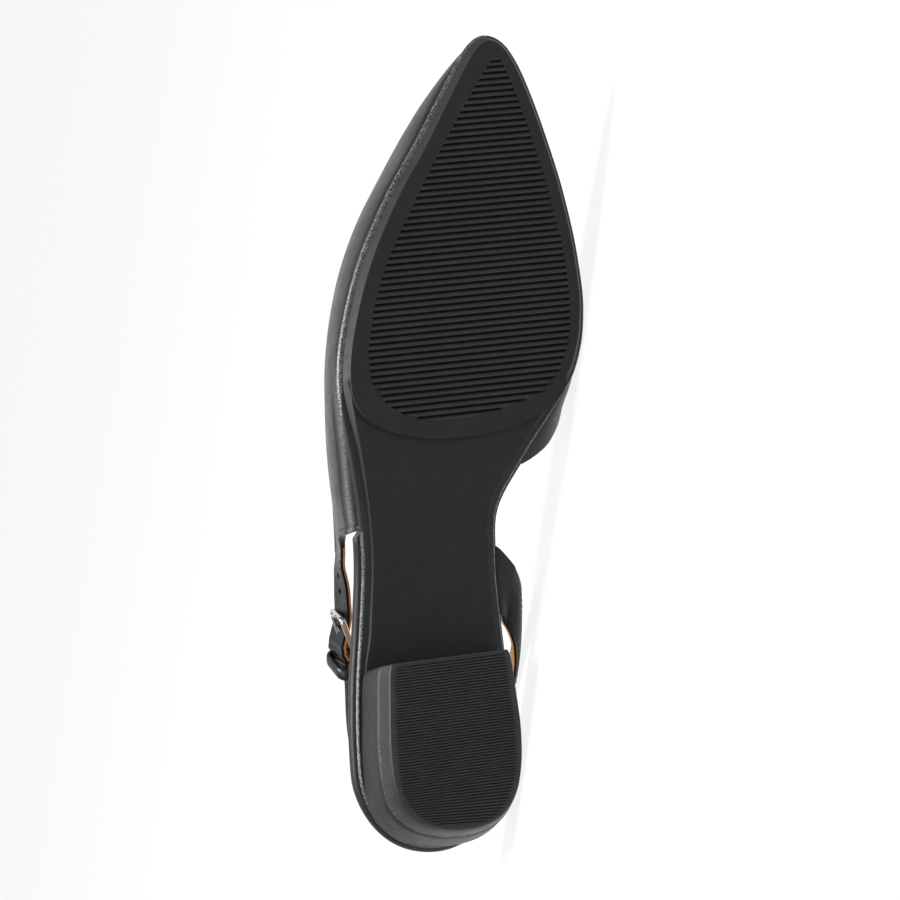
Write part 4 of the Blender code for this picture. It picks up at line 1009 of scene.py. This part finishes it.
def make_lift(sizes):
    """Lift: the heel's plan with fine ribs across its underside, the last step of its edge a grained bead with
    painted glints.
    """
    reach = HEEL_BREAST - HEEL_BACK
    count = int((reach - LIFT_PLAIN) / (sizes.lift_pitch / MM))
    pitch = (reach - LIFT_PLAIN) / count
    ribs = (LIFT_BEHIND + pitch * (np.arange(count)[:, None] + np.array(LIFT_RIB)[:, 0])).reshape(-1)
    back = LIFT_BEHIND * np.array([0.0, 0.02, 0.08, 0.2, 0.4, 0.65])
    places = np.concatenate([back, ribs, np.linspace(ribs[-1], reach, 6)[1:]])
    margin = np.array(LIFT_MARGIN_COLUMNS)
    columns = np.concatenate([margin, np.linspace(0.075, 0.925, 26), 1 - margin[::-1]])
    phase = np.mod((places - LIFT_BEHIND) / pitch + 1e-6, 1.0)
    groove = groove_share(LIFT_RIB, phase) * ease(places, *LIFT_BEGIN) * (places < ribs[-1] + 0.01)

    def ribbed(cap, z):
        inside = np.minimum(cap[..., 1] - cap[:, :1, 1], cap[:, -1:, 1] - cap[..., 1])
        return z + sizes.lift_depth / MM * groove[:, None] * ease(inside, *LIFT_MARGIN)

    wall, under, over = heel_sheets(LIFT_EDGE, places / reach, columns, ribbed, lambda cap, z: z)
    # Rows above the plain ones take the bead finish with its painted glints, a bright line at the lift's top edge.
    side = np.where(np.arange(len(LIFT_EDGE) - 1) < LIFT_PLAIN_ROWS, 1, 2)[:, None]
    # The lift's underside takes a lighter copy of the rubber, painted light, except in the deep part of its grooves,
    # which keep the plain rubber.
    inside = (columns[:-1] > 0.035) & (columns[1:] < 0.965)
    deep = np.where(groove[:-1] + groove[1:] > 1.0, 3, 0)[:, None] * inside
    finishes = ("lift_tread", "lift_rubber_side", "grained_bead", "tread_rubber")
    body = join_sheets((wall, side), (under, deep), (over, 1))
    make_piece("top_lift_ribbed", body, finishes, "top_lift", 32.0)


def make_heel_block():
    """Heel block: the heel's plan from the lift up to the seat, with softened edges."""
    shares = (1 - np.cos(np.linspace(0.0, 0.93 * np.pi, 70))) / 2
    shares = np.concatenate([shares / shares[-1] * 0.985, [0.992, 1.0]])
    sheets = heel_sheets(BLOCK_EDGE, shares, np.linspace(0.0, 1.0, 12), lambda cap, z: z,
                         lambda cap, z: height(SHANK, cap[..., 0]) - TOUCH)
    body = join_sheets(*((sheet, 0) for sheet in sheets))
    make_piece("heel_block_satin", body, ("heel_satin",), "heel_block", 32.0)


def make_insole():
    """Insole: a rounded wrapped edge carried round the plan, with a tan sock raised a little on its dished top."""
    half = np.linspace(0.0, np.pi, 171)
    sides, covered = [], []
    for turn, covers, more in zip((half, 2 * np.pi - half), COVERS, WRAP_MORE):
        station = plan(SOLE_PLAN, turn)[:, 0]
        hidden = sum(ease(station, *begin) - ease(station, *end) for begin, end in covers)
        bare = WRAP_OUT + more * ease(station, *WRAP_GROWS)
        out = bare * (1 - hidden) - COVERED_IN * hidden
        rings = []
        for inset, share in WRAP_EDGE:
            spot = plan(SOLE_PLAN, turn, out - inset)
            thick = INSOLE_FORE + (INSOLE_HEEL - INSOLE_FORE) * (1 - ease(spot[:, 0], *INSOLE_THINS))
            lift = TOUCH + (GAP - TOUCH) * share
            rings.append(np.column_stack([spot, height(SEAT, spot[:, 0]) + lift + thick * share]))
        sides.append(np.array(rings))
        covered.append(hidden > 0.9)
    outer, inner = sides
    wall = close_round(outer, inner)
    lined = np.concatenate([covered[0], covered[1][::-1][1:]])
    lined = (lined[:-1] & lined[1:]).astype(int)[None]
    columns = np.concatenate([[0.0, 0.012, 0.03], np.linspace(0.07, 0.93, 16), [0.97, 0.988, 1.0]])
    under, sock = across(outer[0], inner[0], columns), across(outer[-1], inner[-1], columns)
    width = np.linalg.norm(inner[-1] - outer[-1], axis=1)[:, None]
    dish = (1 - ease(sock[..., 0], *SOCK_DISH)) * 4 * columns * (1 - columns)
    sock[..., 2] += SOCK_RISE * ease(np.minimum(columns, 1 - columns) * width, *SOCK_RIM) - dish
    body = join_sheets((wall, lined), (under, 0), (sock, 1))
    make_piece("insole_wrapped", body, ("wrap_leather", "tan_lining"), "insole", 40.0)


def buckle_axes():
    """The buckle's middle and the strap's run, width and outward directions there, square to each other."""
    run = unit(np.array(BUCKLE_RUN))
    up = np.array(BUCKLE_UP)
    up = unit(up - run * (up @ run))
    out = np.cross(run, up)
    return np.array(BUCKLE_AT), run, up, -out if out[1] > 0 else out


def sling_table(low, high):
    """Rows of the sling line: place along it from the buckle, middle of the strap, edge vector."""
    at, run, up, out = buckle_axes()
    rows = [(*((low + high) / 2), *(high - low)), *FRONT_STRAP]
    middle = len(rows) + 1
    rows += [(*(at + place * run), *((up + STRAP_TWIST * out) * STRAP_WIDTH)) for place in (-6.5, 0.0, 6.5)]
    rows = np.array([*rows, *SLING])
    place = distance(rows[:, :3])
    return np.column_stack([place - place[middle], rows])


def sling_point(table, place, lift, share):
    """Point of the sling at a place along it, lifted outwards, at a share of its width from its middle."""
    def at(s):
        return np.stack([through(table[:, 0], table[:, k], s) for k in range(1, 7)], -1)

    place, lift, share = np.broadcast_arrays(np.asarray(place, float), lift, share)
    here, ahead, behind = at(place), at(place + 0.2), at(place - 0.2)
    out = unit(np.cross(here[..., 3:], ahead[..., :3] - behind[..., :3]))
    return here[..., :3] + share[..., None] * here[..., 3:] + lift[..., None] * out


def vamp_grid(columns, rows):
    """Outer surface of the upper: each column is a cubic arc from the lasted edge to the topline."""
    table = np.array(UPPER)
    half = half_turn(SOLE_PLAN, table[:, 0])
    knots = np.where(table[:, 1] < 0, half, np.where(table[:, 1] > 0, 2 * np.pi - half, np.pi))
    turns = np.linspace(knots[0], knots[-1], columns + 1)
    turns = np.concatenate([np.linspace(turns[0], turns[3], 12), turns[4:]])
    foot = plan(SOLE_PLAN, turns, -FEATHER_INSET)
    away = plan(SOLE_PLAN, turns, 1.0) - plan(SOLE_PLAN, turns)
    value = [through(knots, table[:, k], turns) for k in range(table.shape[1])]
    start = np.column_stack([foot, height(SEAT, foot[:, 0]) + GAP])
    rise = start + np.column_stack([away * value[2][:, None], value[3]])
    end = np.stack(value[4:7], 1)
    lean = end + np.stack(value[7:10], 1)
    b = rows[None, :, None]
    mix = ((1 - b) ** 3, 3 * b * (1 - b) ** 2, 3 * b * b * (1 - b), b ** 3)
    return sum(m * p[:, None, :] for m, p in zip(mix, (start, rise, lean, end)))


def shoe_lines():
    """Fine grid of the vamp, its row shares, its first strap row, and the sling line from the back edge on."""
    wall = np.linspace(*WALL_SHARES)
    top = np.linspace(STRAP_SHARE, 1.0, VAMP_ROWS - len(wall) - 2)[1:]
    rows = np.concatenate([FOOT_ROWS, wall, top])
    vamp = vamp_grid(VAMP_COLUMNS, rows)
    first = len(FOOT_ROWS) + len(wall) - 1
    return vamp, rows, first, sling_table(vamp[0, first], vamp[0, -1])


def round_corner(vamp, first, root):
    """Draws the quarter's back edge out to the strap's root, a quarter circle below the strap's lower edge."""
    shift = root - vamp[0, first:]
    down = distance(vamp[0, first::-1])[:0:-1]
    part = 1 - np.sqrt(1 - np.clip(1 - down / CORNER, 0.0, 1.0) ** 2)
    near = (np.clip(1 - distance(vamp[:, first]) / CORNER_REACH, 0.0, 1.0) ** 2)[:, None, None]
    vamp[:, first:] += near * shift[None]
    vamp[:, :first] += near * (part[:, None] * shift[0])[None]


def strap_band(vamp, shares, first, table):
    """Front strap over its waved sling line, joined smoothly to the vamp's upper rows; also the strap's places."""
    root, start = table[0, 0], table[0, 0] + CORNER
    bent = vamp[0, first:] - sling_point(table, root, 0.0, shares)
    round_corner(vamp, first, sling_point(table, start, 0.0, shares) + bent * math.exp(-CORNER / BEND_REACH))
    places = np.concatenate([np.linspace(STRAP_END, STRAP_FINE, 66), np.linspace(STRAP_FINE, start, 36)[1:-1]])
    places = places[:, None]
    ripple = np.sin(2.1 * places + 2.6 * shares) + 0.6 * np.sin(3.3 * places - 4.0 * shares + 1.0)
    lift = height(STRAP_WAVE, places) + RIPPLE * ripple * between(places, *RIPPLE_PLACES)
    strap = sling_point(table, places, lift, shares[None])
    strap += bent * np.exp((root - places) / BEND_REACH)[..., None]
    tip = ease(places, STRAP_END - TIP_REACH, STRAP_END) * (2 * np.abs(shares)) ** 3
    strap -= (TIP_ROUND * tip)[..., None] * unit(np.array(BUCKLE_RUN))
    band = np.concatenate([strap, vamp[:, first:]])
    steps = np.arange(len(band)) - len(places)
    near = bell(steps, 0.0, np.where(steps > 0, SMOOTH_COLUMNS[1], SMOOTH_COLUMNS[0]))[:, None, None]
    for _ in range(SMOOTH_TIMES):
        smooth = band.copy()
        smooth[1:-1] = (band[:-2] + 2 * band[1:-1] + band[2:]) / 4
        band = band + near * (smooth - band)
    return band, places


def upper_surface(sizes):
    """Upper: vamp arcs and, from the quarter's back edge on, the strap: a wall with rolled edges and a tucked foot.

    Returns the outer and inner grids, outward directions, the strap's places and shares, and the first strap row.
    """
    vamp, rows, first, table = shoe_lines()
    shares = (rows[first:] - STRAP_SHARE) / (1 - STRAP_SHARE) - 0.5
    band, places = strap_band(vamp, shares, first, table)
    length = len(places)
    vamp[:, first:] = band[length:]
    below = np.repeat(band[:length, :1], first, 1)
    outer = np.concatenate([np.concatenate([below, band[:length]], 1), vamp])
    face = np.empty_like(outer)
    face[:, first:] = normals(outer[:, first:])
    face[length:, :first] = normals(vamp)[:, :first]
    face[:length, :first] = face[:length, first:first + 1]
    face[length:, 0, 2] = 0.0
    face = outward(face)

    arc = distance(outer, 1)
    to_top = arc[:, -1:] - arc
    along = distance(vamp[:, EDGE_ROW])[:, None]
    roll = bell(to_top, 0.0, EDGE_BREADTH)
    roll[:length] *= ease(-places, 20.0, 30.0)
    under_strap = np.arange(outer.shape[1]) < first
    for to_end, rows_there in ((along, under_strap), (along[-1] - along, to_top[length:] > 3.0)):
        rolled = END_ROLL[0] * bell(to_end, *END_ROLL[1:]) * rows_there
        pressed = PRESSED_LINE[0] * bell(to_end, *PRESSED_LINE[1:]) * rows_there
        roll[length:] = np.maximum(roll[length:], rolled)
        roll[length:] -= pressed * (roll[length:] < 0.5)
    wall = sizes.upper_wall / MM
    swell = sizes.edge_roll / MM * roll
    tuck = TUCK[0] * bell(arc, 0.0, TUCK[1])
    tuck[:length] = 0.0
    start = table[0, 0] + CORNER
    moved = np.zeros((len(outer), 1))
    moved[:length] = 0.5 * wall * ease(places, start, start + 6.0)
    inner = outer - (wall + tuck - moved)[..., None] * face
    outer = outer + (swell - tuck + moved)[..., None] * face
    for grid in (outer, inner):
        grid[length:, 0, 2] -= GAP
    return outer, inner, face, places, shares, first


def upper_marks(outer, places, first):
    """Marks of the upper, bells round their places: the lasted mark, a painted highlight of lighter grainy grey
    along the outer wall, and dull leather above it, in the crease beside the quarter's back edge and on the strap."""
    length = len(places)
    up = distance(outer, 1)
    station, side = outer[:, :1, 0], outer[:, :1, 1]
    outside = (np.arange(len(outer)) >= length)[:, None] * (side < 0) * (1 - ease(station, *HIGHLIGHT_END))
    low, high, spread = HIGHLIGHT_BAND
    band = high + (low - high) * ease(station, *HIGHLIGHT_STATIONS)
    # The lasted mark: the painted highlight band along the outer wall.
    lasted = outside * bell(up, band, spread)
    dull = outside * DULL_WALL * bell(up, band + DULL_RISE, spread)
    from_edge = distance(outer[length:, EDGE_ROW])[:, None]
    crease = CREASE[0] * bell(from_edge, *CREASE[1:]) * (np.arange(outer.shape[1]) < first)
    dull[length:] = np.maximum(dull[length:], crease)
    dull[:length] = DULL_STRAP * ease(places, places[-1, 0], places[-1, 0] + 5.0)
    return [(name, np.tile(values.reshape(-1), 3)) for name, values in (("lasted", lasted), ("shaded", dull))]


def make_upper(sizes):
    """Upper: one lined wall over its surface, with the prong's slot and the strap's holes."""
    outer, inner, _, places, shares, first = upper_surface(sizes)
    length = len(places)
    cells = np.ones((outer.shape[0] - 1, outer.shape[1] - 1), bool)
    cells[:length, :first] = False
    centre = (shares[:-1] + shares[1:]) / 2
    middle = (places[:-1] + places[1:]) / 2
    cut = (places[:-1] < SLOT[1]) & (places[1:] > SLOT[0]) & (np.abs(centre) < SLOT_SHARE)
    for hole in HOLES:
        cut |= np.hypot(middle - hole, centre * STRAP_WIDTH) <= HOLE_RADIUS
    cells[:length - 1, first:] &= ~cut
    rim = np.zeros(cells.shape, int)
    rim[:length] = 1
    # The upper's finish paints a highlight band along the outer wall from its marks.
    piece = make_piece("upper_leather", shell(outer, inner, cells, rim), ("lasted_leather", "tan_lining"), "upper",
                       45.0, upper_marks(outer, places, first))
    soften(piece, 0.35)


def back_strap_middle(table, wall):
    """Middle surface of the back strap: a fold round the buckle's rear bar, the sling line, the tab to the sole."""
    loop = WIRE + 0.15 + wall / 2
    bar = BAR_REACH * math.cos(BUCKLE_TILT)
    deep = -BAR_REACH * math.sin(BUCKLE_TILT)

    def under(s):
        return (deep - loop) * (1 - ease(s, *FOLD_RISE))

    turns = np.linspace(0.0, math.pi, 9)
    rest = np.concatenate([BEHIND_BAR, np.linspace(31.0, table[-1, 0], 46)])
    ends = np.array(FOLD_END)
    place = np.concatenate([ends, FOLD_BACK, bar - loop * np.sin(turns), rest])
    lift = np.concatenate([under(ends) + wall + GAP, (under(FOLD_BACK[0]) + wall + 0.6, deep + loop - 0.35),
                           deep + loop * np.cos(turns), under(rest)])
    shares = np.concatenate([[-0.5, -0.47, -0.42], np.linspace(-0.34, 0.34, 12), [0.42, 0.47, 0.5]])
    bow = STRAP_BOW * between(place, table[[-6, -4], 0], table[[-3, -1], 0])
    lift = lift[:, None] + bow[:, None] * (1 - 4 * shares ** 2)
    middle = sling_point(table, place[:, None], lift, shares[None])
    root = TAB_ROOT[0] + (TAB_ROOT[1] - TAB_ROOT[0]) * (shares + 0.5)
    turn = 2 * np.pi - half_turn(SOLE_PLAN, root)
    foot = plan(SOLE_PLAN, turn, -FEATHER_INSET - wall / 2)
    foot = np.column_stack([foot, height(SEAT, foot[:, 0]) + 0.02])
    above = np.column_stack([plan(SOLE_PLAN, turn, 1.6), height(SEAT, foot[:, 0]) + GAP + 2.2])
    return np.concatenate([middle, above[None], foot[None]]), shares


def fine_along(grid, steps):
    """Adds rows between the rows of a grid, on smooth curves through each column."""
    at = np.concatenate([np.linspace(k, k + 1, n, endpoint=False) for k, n in enumerate(steps)] + [[len(grid) - 1]])
    knots = np.arange(len(grid))
    flat = grid.reshape(len(grid), -1)
    fine = np.stack([through(knots, flat[:, k], at) for k in range(flat.shape[1])], 1)
    return fine.reshape(len(at), *grid.shape[1:]), at


def make_back_strap(sizes):
    """Back strap: a wall on both sides of its middle surface, with a slot for the prong in the fold."""
    wall = sizes.strap_wall / MM
    middle, shares = back_strap_middle(shoe_lines()[-1], wall)
    steps = np.full(len(middle) - 1, 5)
    steps[:14] = 4
    steps[-4:] = 7
    middle, at = fine_along(middle, steps)
    face = normals(middle)
    face[-1, :, 2] = 0.0
    half = 0.5 * wall * outward(face)
    centre = (shares[:-1] + shares[1:]) / 2
    slot = (at[:-1] >= FOLD_SLOT[0]) & (at[1:] <= FOLD_SLOT[1])
    cells = ~(slot[:, None] & (np.abs(centre) < FOLD_SHARE))
    lined = np.broadcast_to((at[:-1] > LINED_FROM)[:, None], cells.shape).astype(int)
    body = shell(middle + half, middle - half, cells, lined)
    finishes = ("dull_leather", "tan_lining")
    soften(make_piece("back_strap_leather", body, finishes, "back_strap", 45.0), 0.3)


def frame_axes():
    """The buckle's middle and its frame's own run, width and outward directions."""
    at, run, up, out = buckle_axes()
    turn = math.cos(BUCKLE_TILT), math.sin(BUCKLE_TILT)
    return at, turn[0] * run - turn[1] * out, up, turn[0] * out + turn[1] * run


def rounded_box(half_a, half_b, corner, count):
    """Points and outward directions of a rectangle with rounded corners, even along each corner."""
    turn = (np.arange(count) + 0.5) * 2 * np.pi / count
    away = np.stack([np.cos(turn), np.sin(turn)], 1)
    return np.copysign((half_a - corner, half_b - corner), away) + corner * away, away


def make_buckle():
    """Buckle frame: a flattened wire carried round a rounded rectangle."""
    at, run, up, out = frame_axes()
    spot, away = rounded_box(BAR_REACH, FRAME_HALF, 1.7, 88)
    path = at + spot[:, :1] * run + spot[:, 1:] * up
    side = away[:, :1] * run + away[:, 1:] * up
    wire = circle(20)
    profile = np.sign(wire) * np.abs(wire) ** 0.75 * WIRE
    body = join_sheets((tube(path, side, np.broadcast_to(out, path.shape), profile, True), 0))
    make_piece("buckle_frame_polished", body, ("polished_metal",), "buckle_frame", 50.0)


def make_prong():
    """Prong: a round wire that curls round the rear bar, lies over the frame and thins towards its tip."""
    at, run, up, out = frame_axes()
    ring = WIRE + 0.12 + PRONG_WIRE
    turns = np.radians(np.linspace(-170, 90, 27))
    curl = np.stack([BAR_REACH + ring * np.cos(turns), ring * np.sin(turns)], 1)
    line = np.concatenate([curl, np.array(PRONG_LINE) + (0.0, ring)])
    step = distance(line)
    where = np.linspace(0.0, step[-1], 70)
    line = np.stack([through(step, line[:, k], where) for k in range(2)], 1)
    slope = unit(np.gradient(line, axis=0))
    path = at + line[:, :1] * run + line[:, 1:] * out
    lift = -slope[:, 1:] * run + slope[:, :1] * out
    thin = 1 - 0.45 * ease(where, step[-1] - 2.2, step[-1])[:, None]
    body = join_sheets((tube(path, up * thin, lift * thin, PRONG_WIRE * circle(14), False), 0))
    make_piece("buckle_prong_polished", body, ("polished_metal",), "buckle_prong", 50.0)


def make_keeper():
    """Keeper: a flat band with rounded edges carried round the strap on a slanted loop."""
    table = shoe_lines()[-1]
    run = buckle_axes()[1]
    middle = (KEEPER_LOW + KEEPER_HIGH) / 2
    spot, away = rounded_box(STRAP_WIDTH / 2 + 0.5, (KEEPER_HIGH - KEEPER_LOW) / 2, 2.6, 96)

    def around(at):
        share = at[:, 0] / STRAP_WIDTH
        return sling_point(table, KEEPER_AT - KEEPER_SLANT * share, middle + at[:, 1], share)

    path = around(spot)
    side = around(spot + 0.5 * away) - path
    side = unit(side - (side @ run)[:, None] * run)
    body = join_sheets((tube(path, side, np.broadcast_to(run, path.shape), np.array(KEEPER_EDGE), True), 0))
    make_piece("strap_keeper_leather", body, ("smooth_leather",), "strap_keeper", 40.0)


def stitch_row(line, out, pitch, thread):
    """Grids of the stitches along a line with outward directions: capsules that dip in at both ends."""
    step = distance(line)
    count = max(2, int(step[-1] / pitch))
    begin = (np.arange(count) + STITCH_START) * step[-1] / count
    along, size, sink = np.array(STITCH).T
    where = begin[:, None] + along * STITCH_LENGTH * pitch
    spot, up = (np.stack([np.interp(where, step, each[:, k]) for k in range(3)], -1) for each in (line, out))
    up = unit(up)
    run = unit(spot[:, -1:] - spot[:, :1])
    side = unit(np.cross(np.broadcast_to(run, up.shape), up))
    middle = (spot + thread * sink[:, None] * up)[:, :, None]
    turn = np.arange(7) * 2 * np.pi / 6
    ring = np.cos(turn)[:, None] * side[:, :, None] + np.sin(turn)[:, None] * up[:, :, None]
    body = middle + ring * (thread / 2 * size)[:, None, None]
    ends = np.repeat(middle, len(turn), 2)
    return np.concatenate([ends[:, :1], body, ends[:, -1:]], 1)


def topline_seam(outer, face):
    """Points a seam's breadth below the topline, each between two rows of its column, with outward directions."""
    down = distance(outer[:, ::-1], 1)[:, ::-1]
    low = np.argmax(down < TOPLINE_SEAM, 1) - 1
    index = np.arange(len(outer))
    part = ((down[index, low] - TOPLINE_SEAM) / (down[index, low] - down[index, low + 1]))[:, None]
    spot = outer[index, low] * (1 - part) + outer[index, low + 1] * part
    return spot[SEAM_COLUMNS], face[index, low][SEAM_COLUMNS]


def make_stitches(sizes):
    """Stitch rows along both edges of the back strap and of the front strap, and under the topline."""
    wall = sizes.strap_wall / MM
    middle, shares = back_strap_middle(shoe_lines()[-1], wall)
    fine, at = fine_along(middle, np.full(len(middle) - 1, 4))
    face = outward(normals(fine))
    sewn = (at > SEWN_ROWS[0]) & (at < len(middle) - SEWN_ROWS[1])
    lines = []
    for share in STITCH_SHARES:
        k = np.argmin(np.abs(shares - share))
        lines.append((fine[sewn, k] + (wall / 2 + TOUCH) * face[sewn, k], face[sewn, k]))
    outer, _, face, places, shares, first = upper_surface(sizes)
    front = np.flatnonzero(places[:, 0] < SEWN_FRONT)
    for share in STITCH_SHARES:
        row = first + np.argmin(np.abs(shares - share))
        lines.append((outer[front, row], face[front, row]))
    lines.append(topline_seam(outer[len(places):], face[len(places):]))
    rows = [stitch_row(line, out, sizes.stitch_pitch / MM, sizes.thread / MM) for line, out in lines]
    stitches = np.concatenate(rows)
    count, high, wide = stitches.shape[:3]
    faces = (np.arange(count)[:, None, None] * high * wide + grid_faces(high, wide)).reshape(-1, 4)
    body = stitches.reshape(-1, 3), faces, np.zeros(len(faces), int)
    make_piece("stitch_rows", body, ("black_thread",), None, 60.0)


def view_axes():
    """Direction of view, image up and image right in the upright frame, from rise, swing and roll."""
    rise, swing, roll = np.radians([VIEW_RISE, VIEW_SWING, VIEW_ROLL])
    look = np.array([np.sin(swing), np.sin(rise) * np.cos(swing), np.cos(rise) * np.cos(swing)])
    up = unit(np.array([1.0, 0.0, 0.0]) - look[0] * look)
    right = np.cross(look, up)
    return look, np.cos(roll) * up + np.sin(roll) * right, np.cos(roll) * right - np.sin(roll) * up


def set_up(name, data, axes, spot):
    """Puts a camera or a light at a spot; the axes are its right, up and backward directions."""
    made = bpy.data.objects.new(name, data)
    matrix = np.eye(4)
    matrix[:3, :3] = np.stack(axes, 1)
    matrix[:3, 3] = spot
    made.matrix_world = Matrix(matrix.tolist())
    bpy.context.scene.collection.objects.link(made)
    return made


def make_floor(colours):
    """Floor: flat in front, then a quarter circle up to a plain backdrop, in a faintly glowing pale finish."""
    start, radius = FLOOR_BEND
    bend = np.linspace(0.0, np.pi / 2, 25)[1:]
    run = np.concatenate([np.linspace(FLOOR_FRONT, start, 19), start + radius * np.sin(bend), [start + radius] * 2])
    rise = np.concatenate([np.zeros(19), radius * (1 - np.cos(bend)), [3.5, 6.0]])
    wide = np.linspace(-FLOOR_HALF, FLOOR_HALF, 17)
    grid = np.stack(np.broadcast_arrays(wide[None], run[:, None], rise[:, None]), -1)
    mesh = bpy.data.meshes.new("studio_floor")
    mesh.from_pydata(grid.reshape(-1, 3).tolist(), [], grid_faces(*grid.shape[:2])[:, ::-1].tolist())
    mesh.shade_smooth()
    floor = bpy.data.objects.new("studio_floor", mesh)
    bpy.context.scene.collection.objects.link(floor)
    pale = Surface("pale_floor", colours.floor, 0.85, 0.2)
    pale.feed(pale.shader, {"Emission Color": WHITE, "Emission Strength": FLOOR_GLOW})
    mesh.materials.append(pale.made)


def make_stage(colours):
    """Pale floor that curves up to a backdrop, a camera at the view's angle, and large soft lights."""
    scene = bpy.context.scene
    look, up, right = view_axes()
    axes = np.stack([right, up, -look]) @ rest_turn().T
    spot = lay(np.array(VIEW_TARGET) - VIEW_DISTANCE * look)
    scene.camera = set_up("camera", bpy.data.cameras.new("camera"), axes, spot)
    lens = scene.camera.data
    lens.lens = lens.sensor_width * VIEW_SCALE * VIEW_DISTANCE / IMAGE_SIDE
    lens.clip_start, lens.clip_end = 0.05, 60.0
    make_floor(colours)

    scene.world = bpy.data.worlds.new("studio")
    scene.world.use_nodes = True
    background = scene.world.node_tree.nodes["Background"]
    background.inputs["Color"].default_value = WHITE
    background.inputs["Strength"].default_value = WORLD_LIGHT
    scene.view_settings.view_transform = "Standard"
    for name, spot, aim, size, power in LIGHTS:
        light = bpy.data.lights.new(name, "AREA")
        light.shape = "SQUARE"
        light.size = size
        light.energy = power
        away = unit(np.array(spot) - np.array(aim))
        beside = unit(np.cross(np.array([0.0, 1.0, 0.01]), away))
        set_up(name, light, (beside, np.cross(away, beside), away), spot)


class SLINGBACK_OT_outsole(bpy.types.Operator):
    """Builds the moulded outsole with its ribbed tread"""

    bl_idname = "slingback.outsole"
    bl_label = "Outsole"

    def execute(self, context):
        make_outsole(context.scene.slingback_sizes)
        return {"FINISHED"}


class SLINGBACK_OT_heel(bpy.types.Operator):
    """Builds the heel block and its ribbed lift"""

    bl_idname = "slingback.heel"
    bl_label = "Heel"

    def execute(self, context):
        make_lift(context.scene.slingback_sizes)
        make_heel_block()
        return {"FINISHED"}


class SLINGBACK_OT_insole(bpy.types.Operator):
    """Builds the wrapped insole with its sock"""

    bl_idname = "slingback.insole"
    bl_label = "Insole"

    def execute(self, context):
        make_insole()
        return {"FINISHED"}


class SLINGBACK_OT_upper(bpy.types.Operator):
    """Builds the lined upper with the front strap"""

    bl_idname = "slingback.upper"
    bl_label = "Upper"

    def execute(self, context):
        make_upper(context.scene.slingback_sizes)
        return {"FINISHED"}


class SLINGBACK_OT_back_strap(bpy.types.Operator):
    """Builds the lined back strap with its inner tab"""

    bl_idname = "slingback.back_strap"
    bl_label = "Back strap"

    def execute(self, context):
        make_back_strap(context.scene.slingback_sizes)
        return {"FINISHED"}


class SLINGBACK_OT_fittings(bpy.types.Operator):
    """Builds the buckle, its prong and the strap keeper"""

    bl_idname = "slingback.fittings"
    bl_label = "Buckle and keeper"

    def execute(self, context):
        make_buckle()
        make_prong()
        make_keeper()
        return {"FINISHED"}


class SLINGBACK_OT_stitches(bpy.types.Operator):
    """Sews the stitch rows of the straps and the topline"""

    bl_idname = "slingback.stitches"
    bl_label = "Stitches"

    def execute(self, context):
        make_stitches(context.scene.slingback_sizes)
        return {"FINISHED"}


class SLINGBACK_OT_stage(bpy.types.Operator):
    """Sets the floor, the camera and the lights"""

    bl_idname = "slingback.stage"
    bl_label = "Stage"

    def execute(self, context):
        make_stage(context.scene.slingback_colours)
        return {"FINISHED"}


OPERATORS = (SLINGBACK_OT_outsole, SLINGBACK_OT_heel, SLINGBACK_OT_insole, SLINGBACK_OT_upper,
             SLINGBACK_OT_back_strap, SLINGBACK_OT_fittings, SLINGBACK_OT_stitches, SLINGBACK_OT_stage)


class SLINGBACK_PT_panel(bpy.types.Panel):
    """Sizes, colours and pieces of the slingback"""

    bl_label = "Low heel slingback"
    bl_idname = "SLINGBACK_PT_panel"
    bl_space_type = "VIEW_3D"
    bl_region_type = "UI"
    bl_category = "Slingback"

    def draw(self, context):
        for group in (context.scene.slingback_sizes, context.scene.slingback_colours):
            for name in group.__annotations__:
                self.layout.prop(group, name)
        for operator in OPERATORS:
            self.layout.operator(operator.bl_idname)


CLASSES = (SlingbackSizes, SlingbackColours, *OPERATORS, SLINGBACK_PT_panel)


def register():
    for made in CLASSES:
        bpy.utils.register_class(made)
    bpy.types.Scene.slingback_sizes = PointerProperty(type=SlingbackSizes)
    bpy.types.Scene.slingback_colours = PointerProperty(type=SlingbackColours)


def unregister():
    del bpy.types.Scene.slingback_colours
    del bpy.types.Scene.slingback_sizes
    for made in reversed(CLASSES):
        bpy.utils.unregister_class(made)


def main():
    register()
    bpy.ops.slingback.outsole()
    bpy.ops.slingback.heel()
    bpy.ops.slingback.insole()
    bpy.ops.slingback.upper()
    bpy.ops.slingback.back_strap()
    bpy.ops.slingback.fittings()
    bpy.ops.slingback.stitches()
    bpy.ops.slingback.stage()


if __name__ == "__main__":
    main()
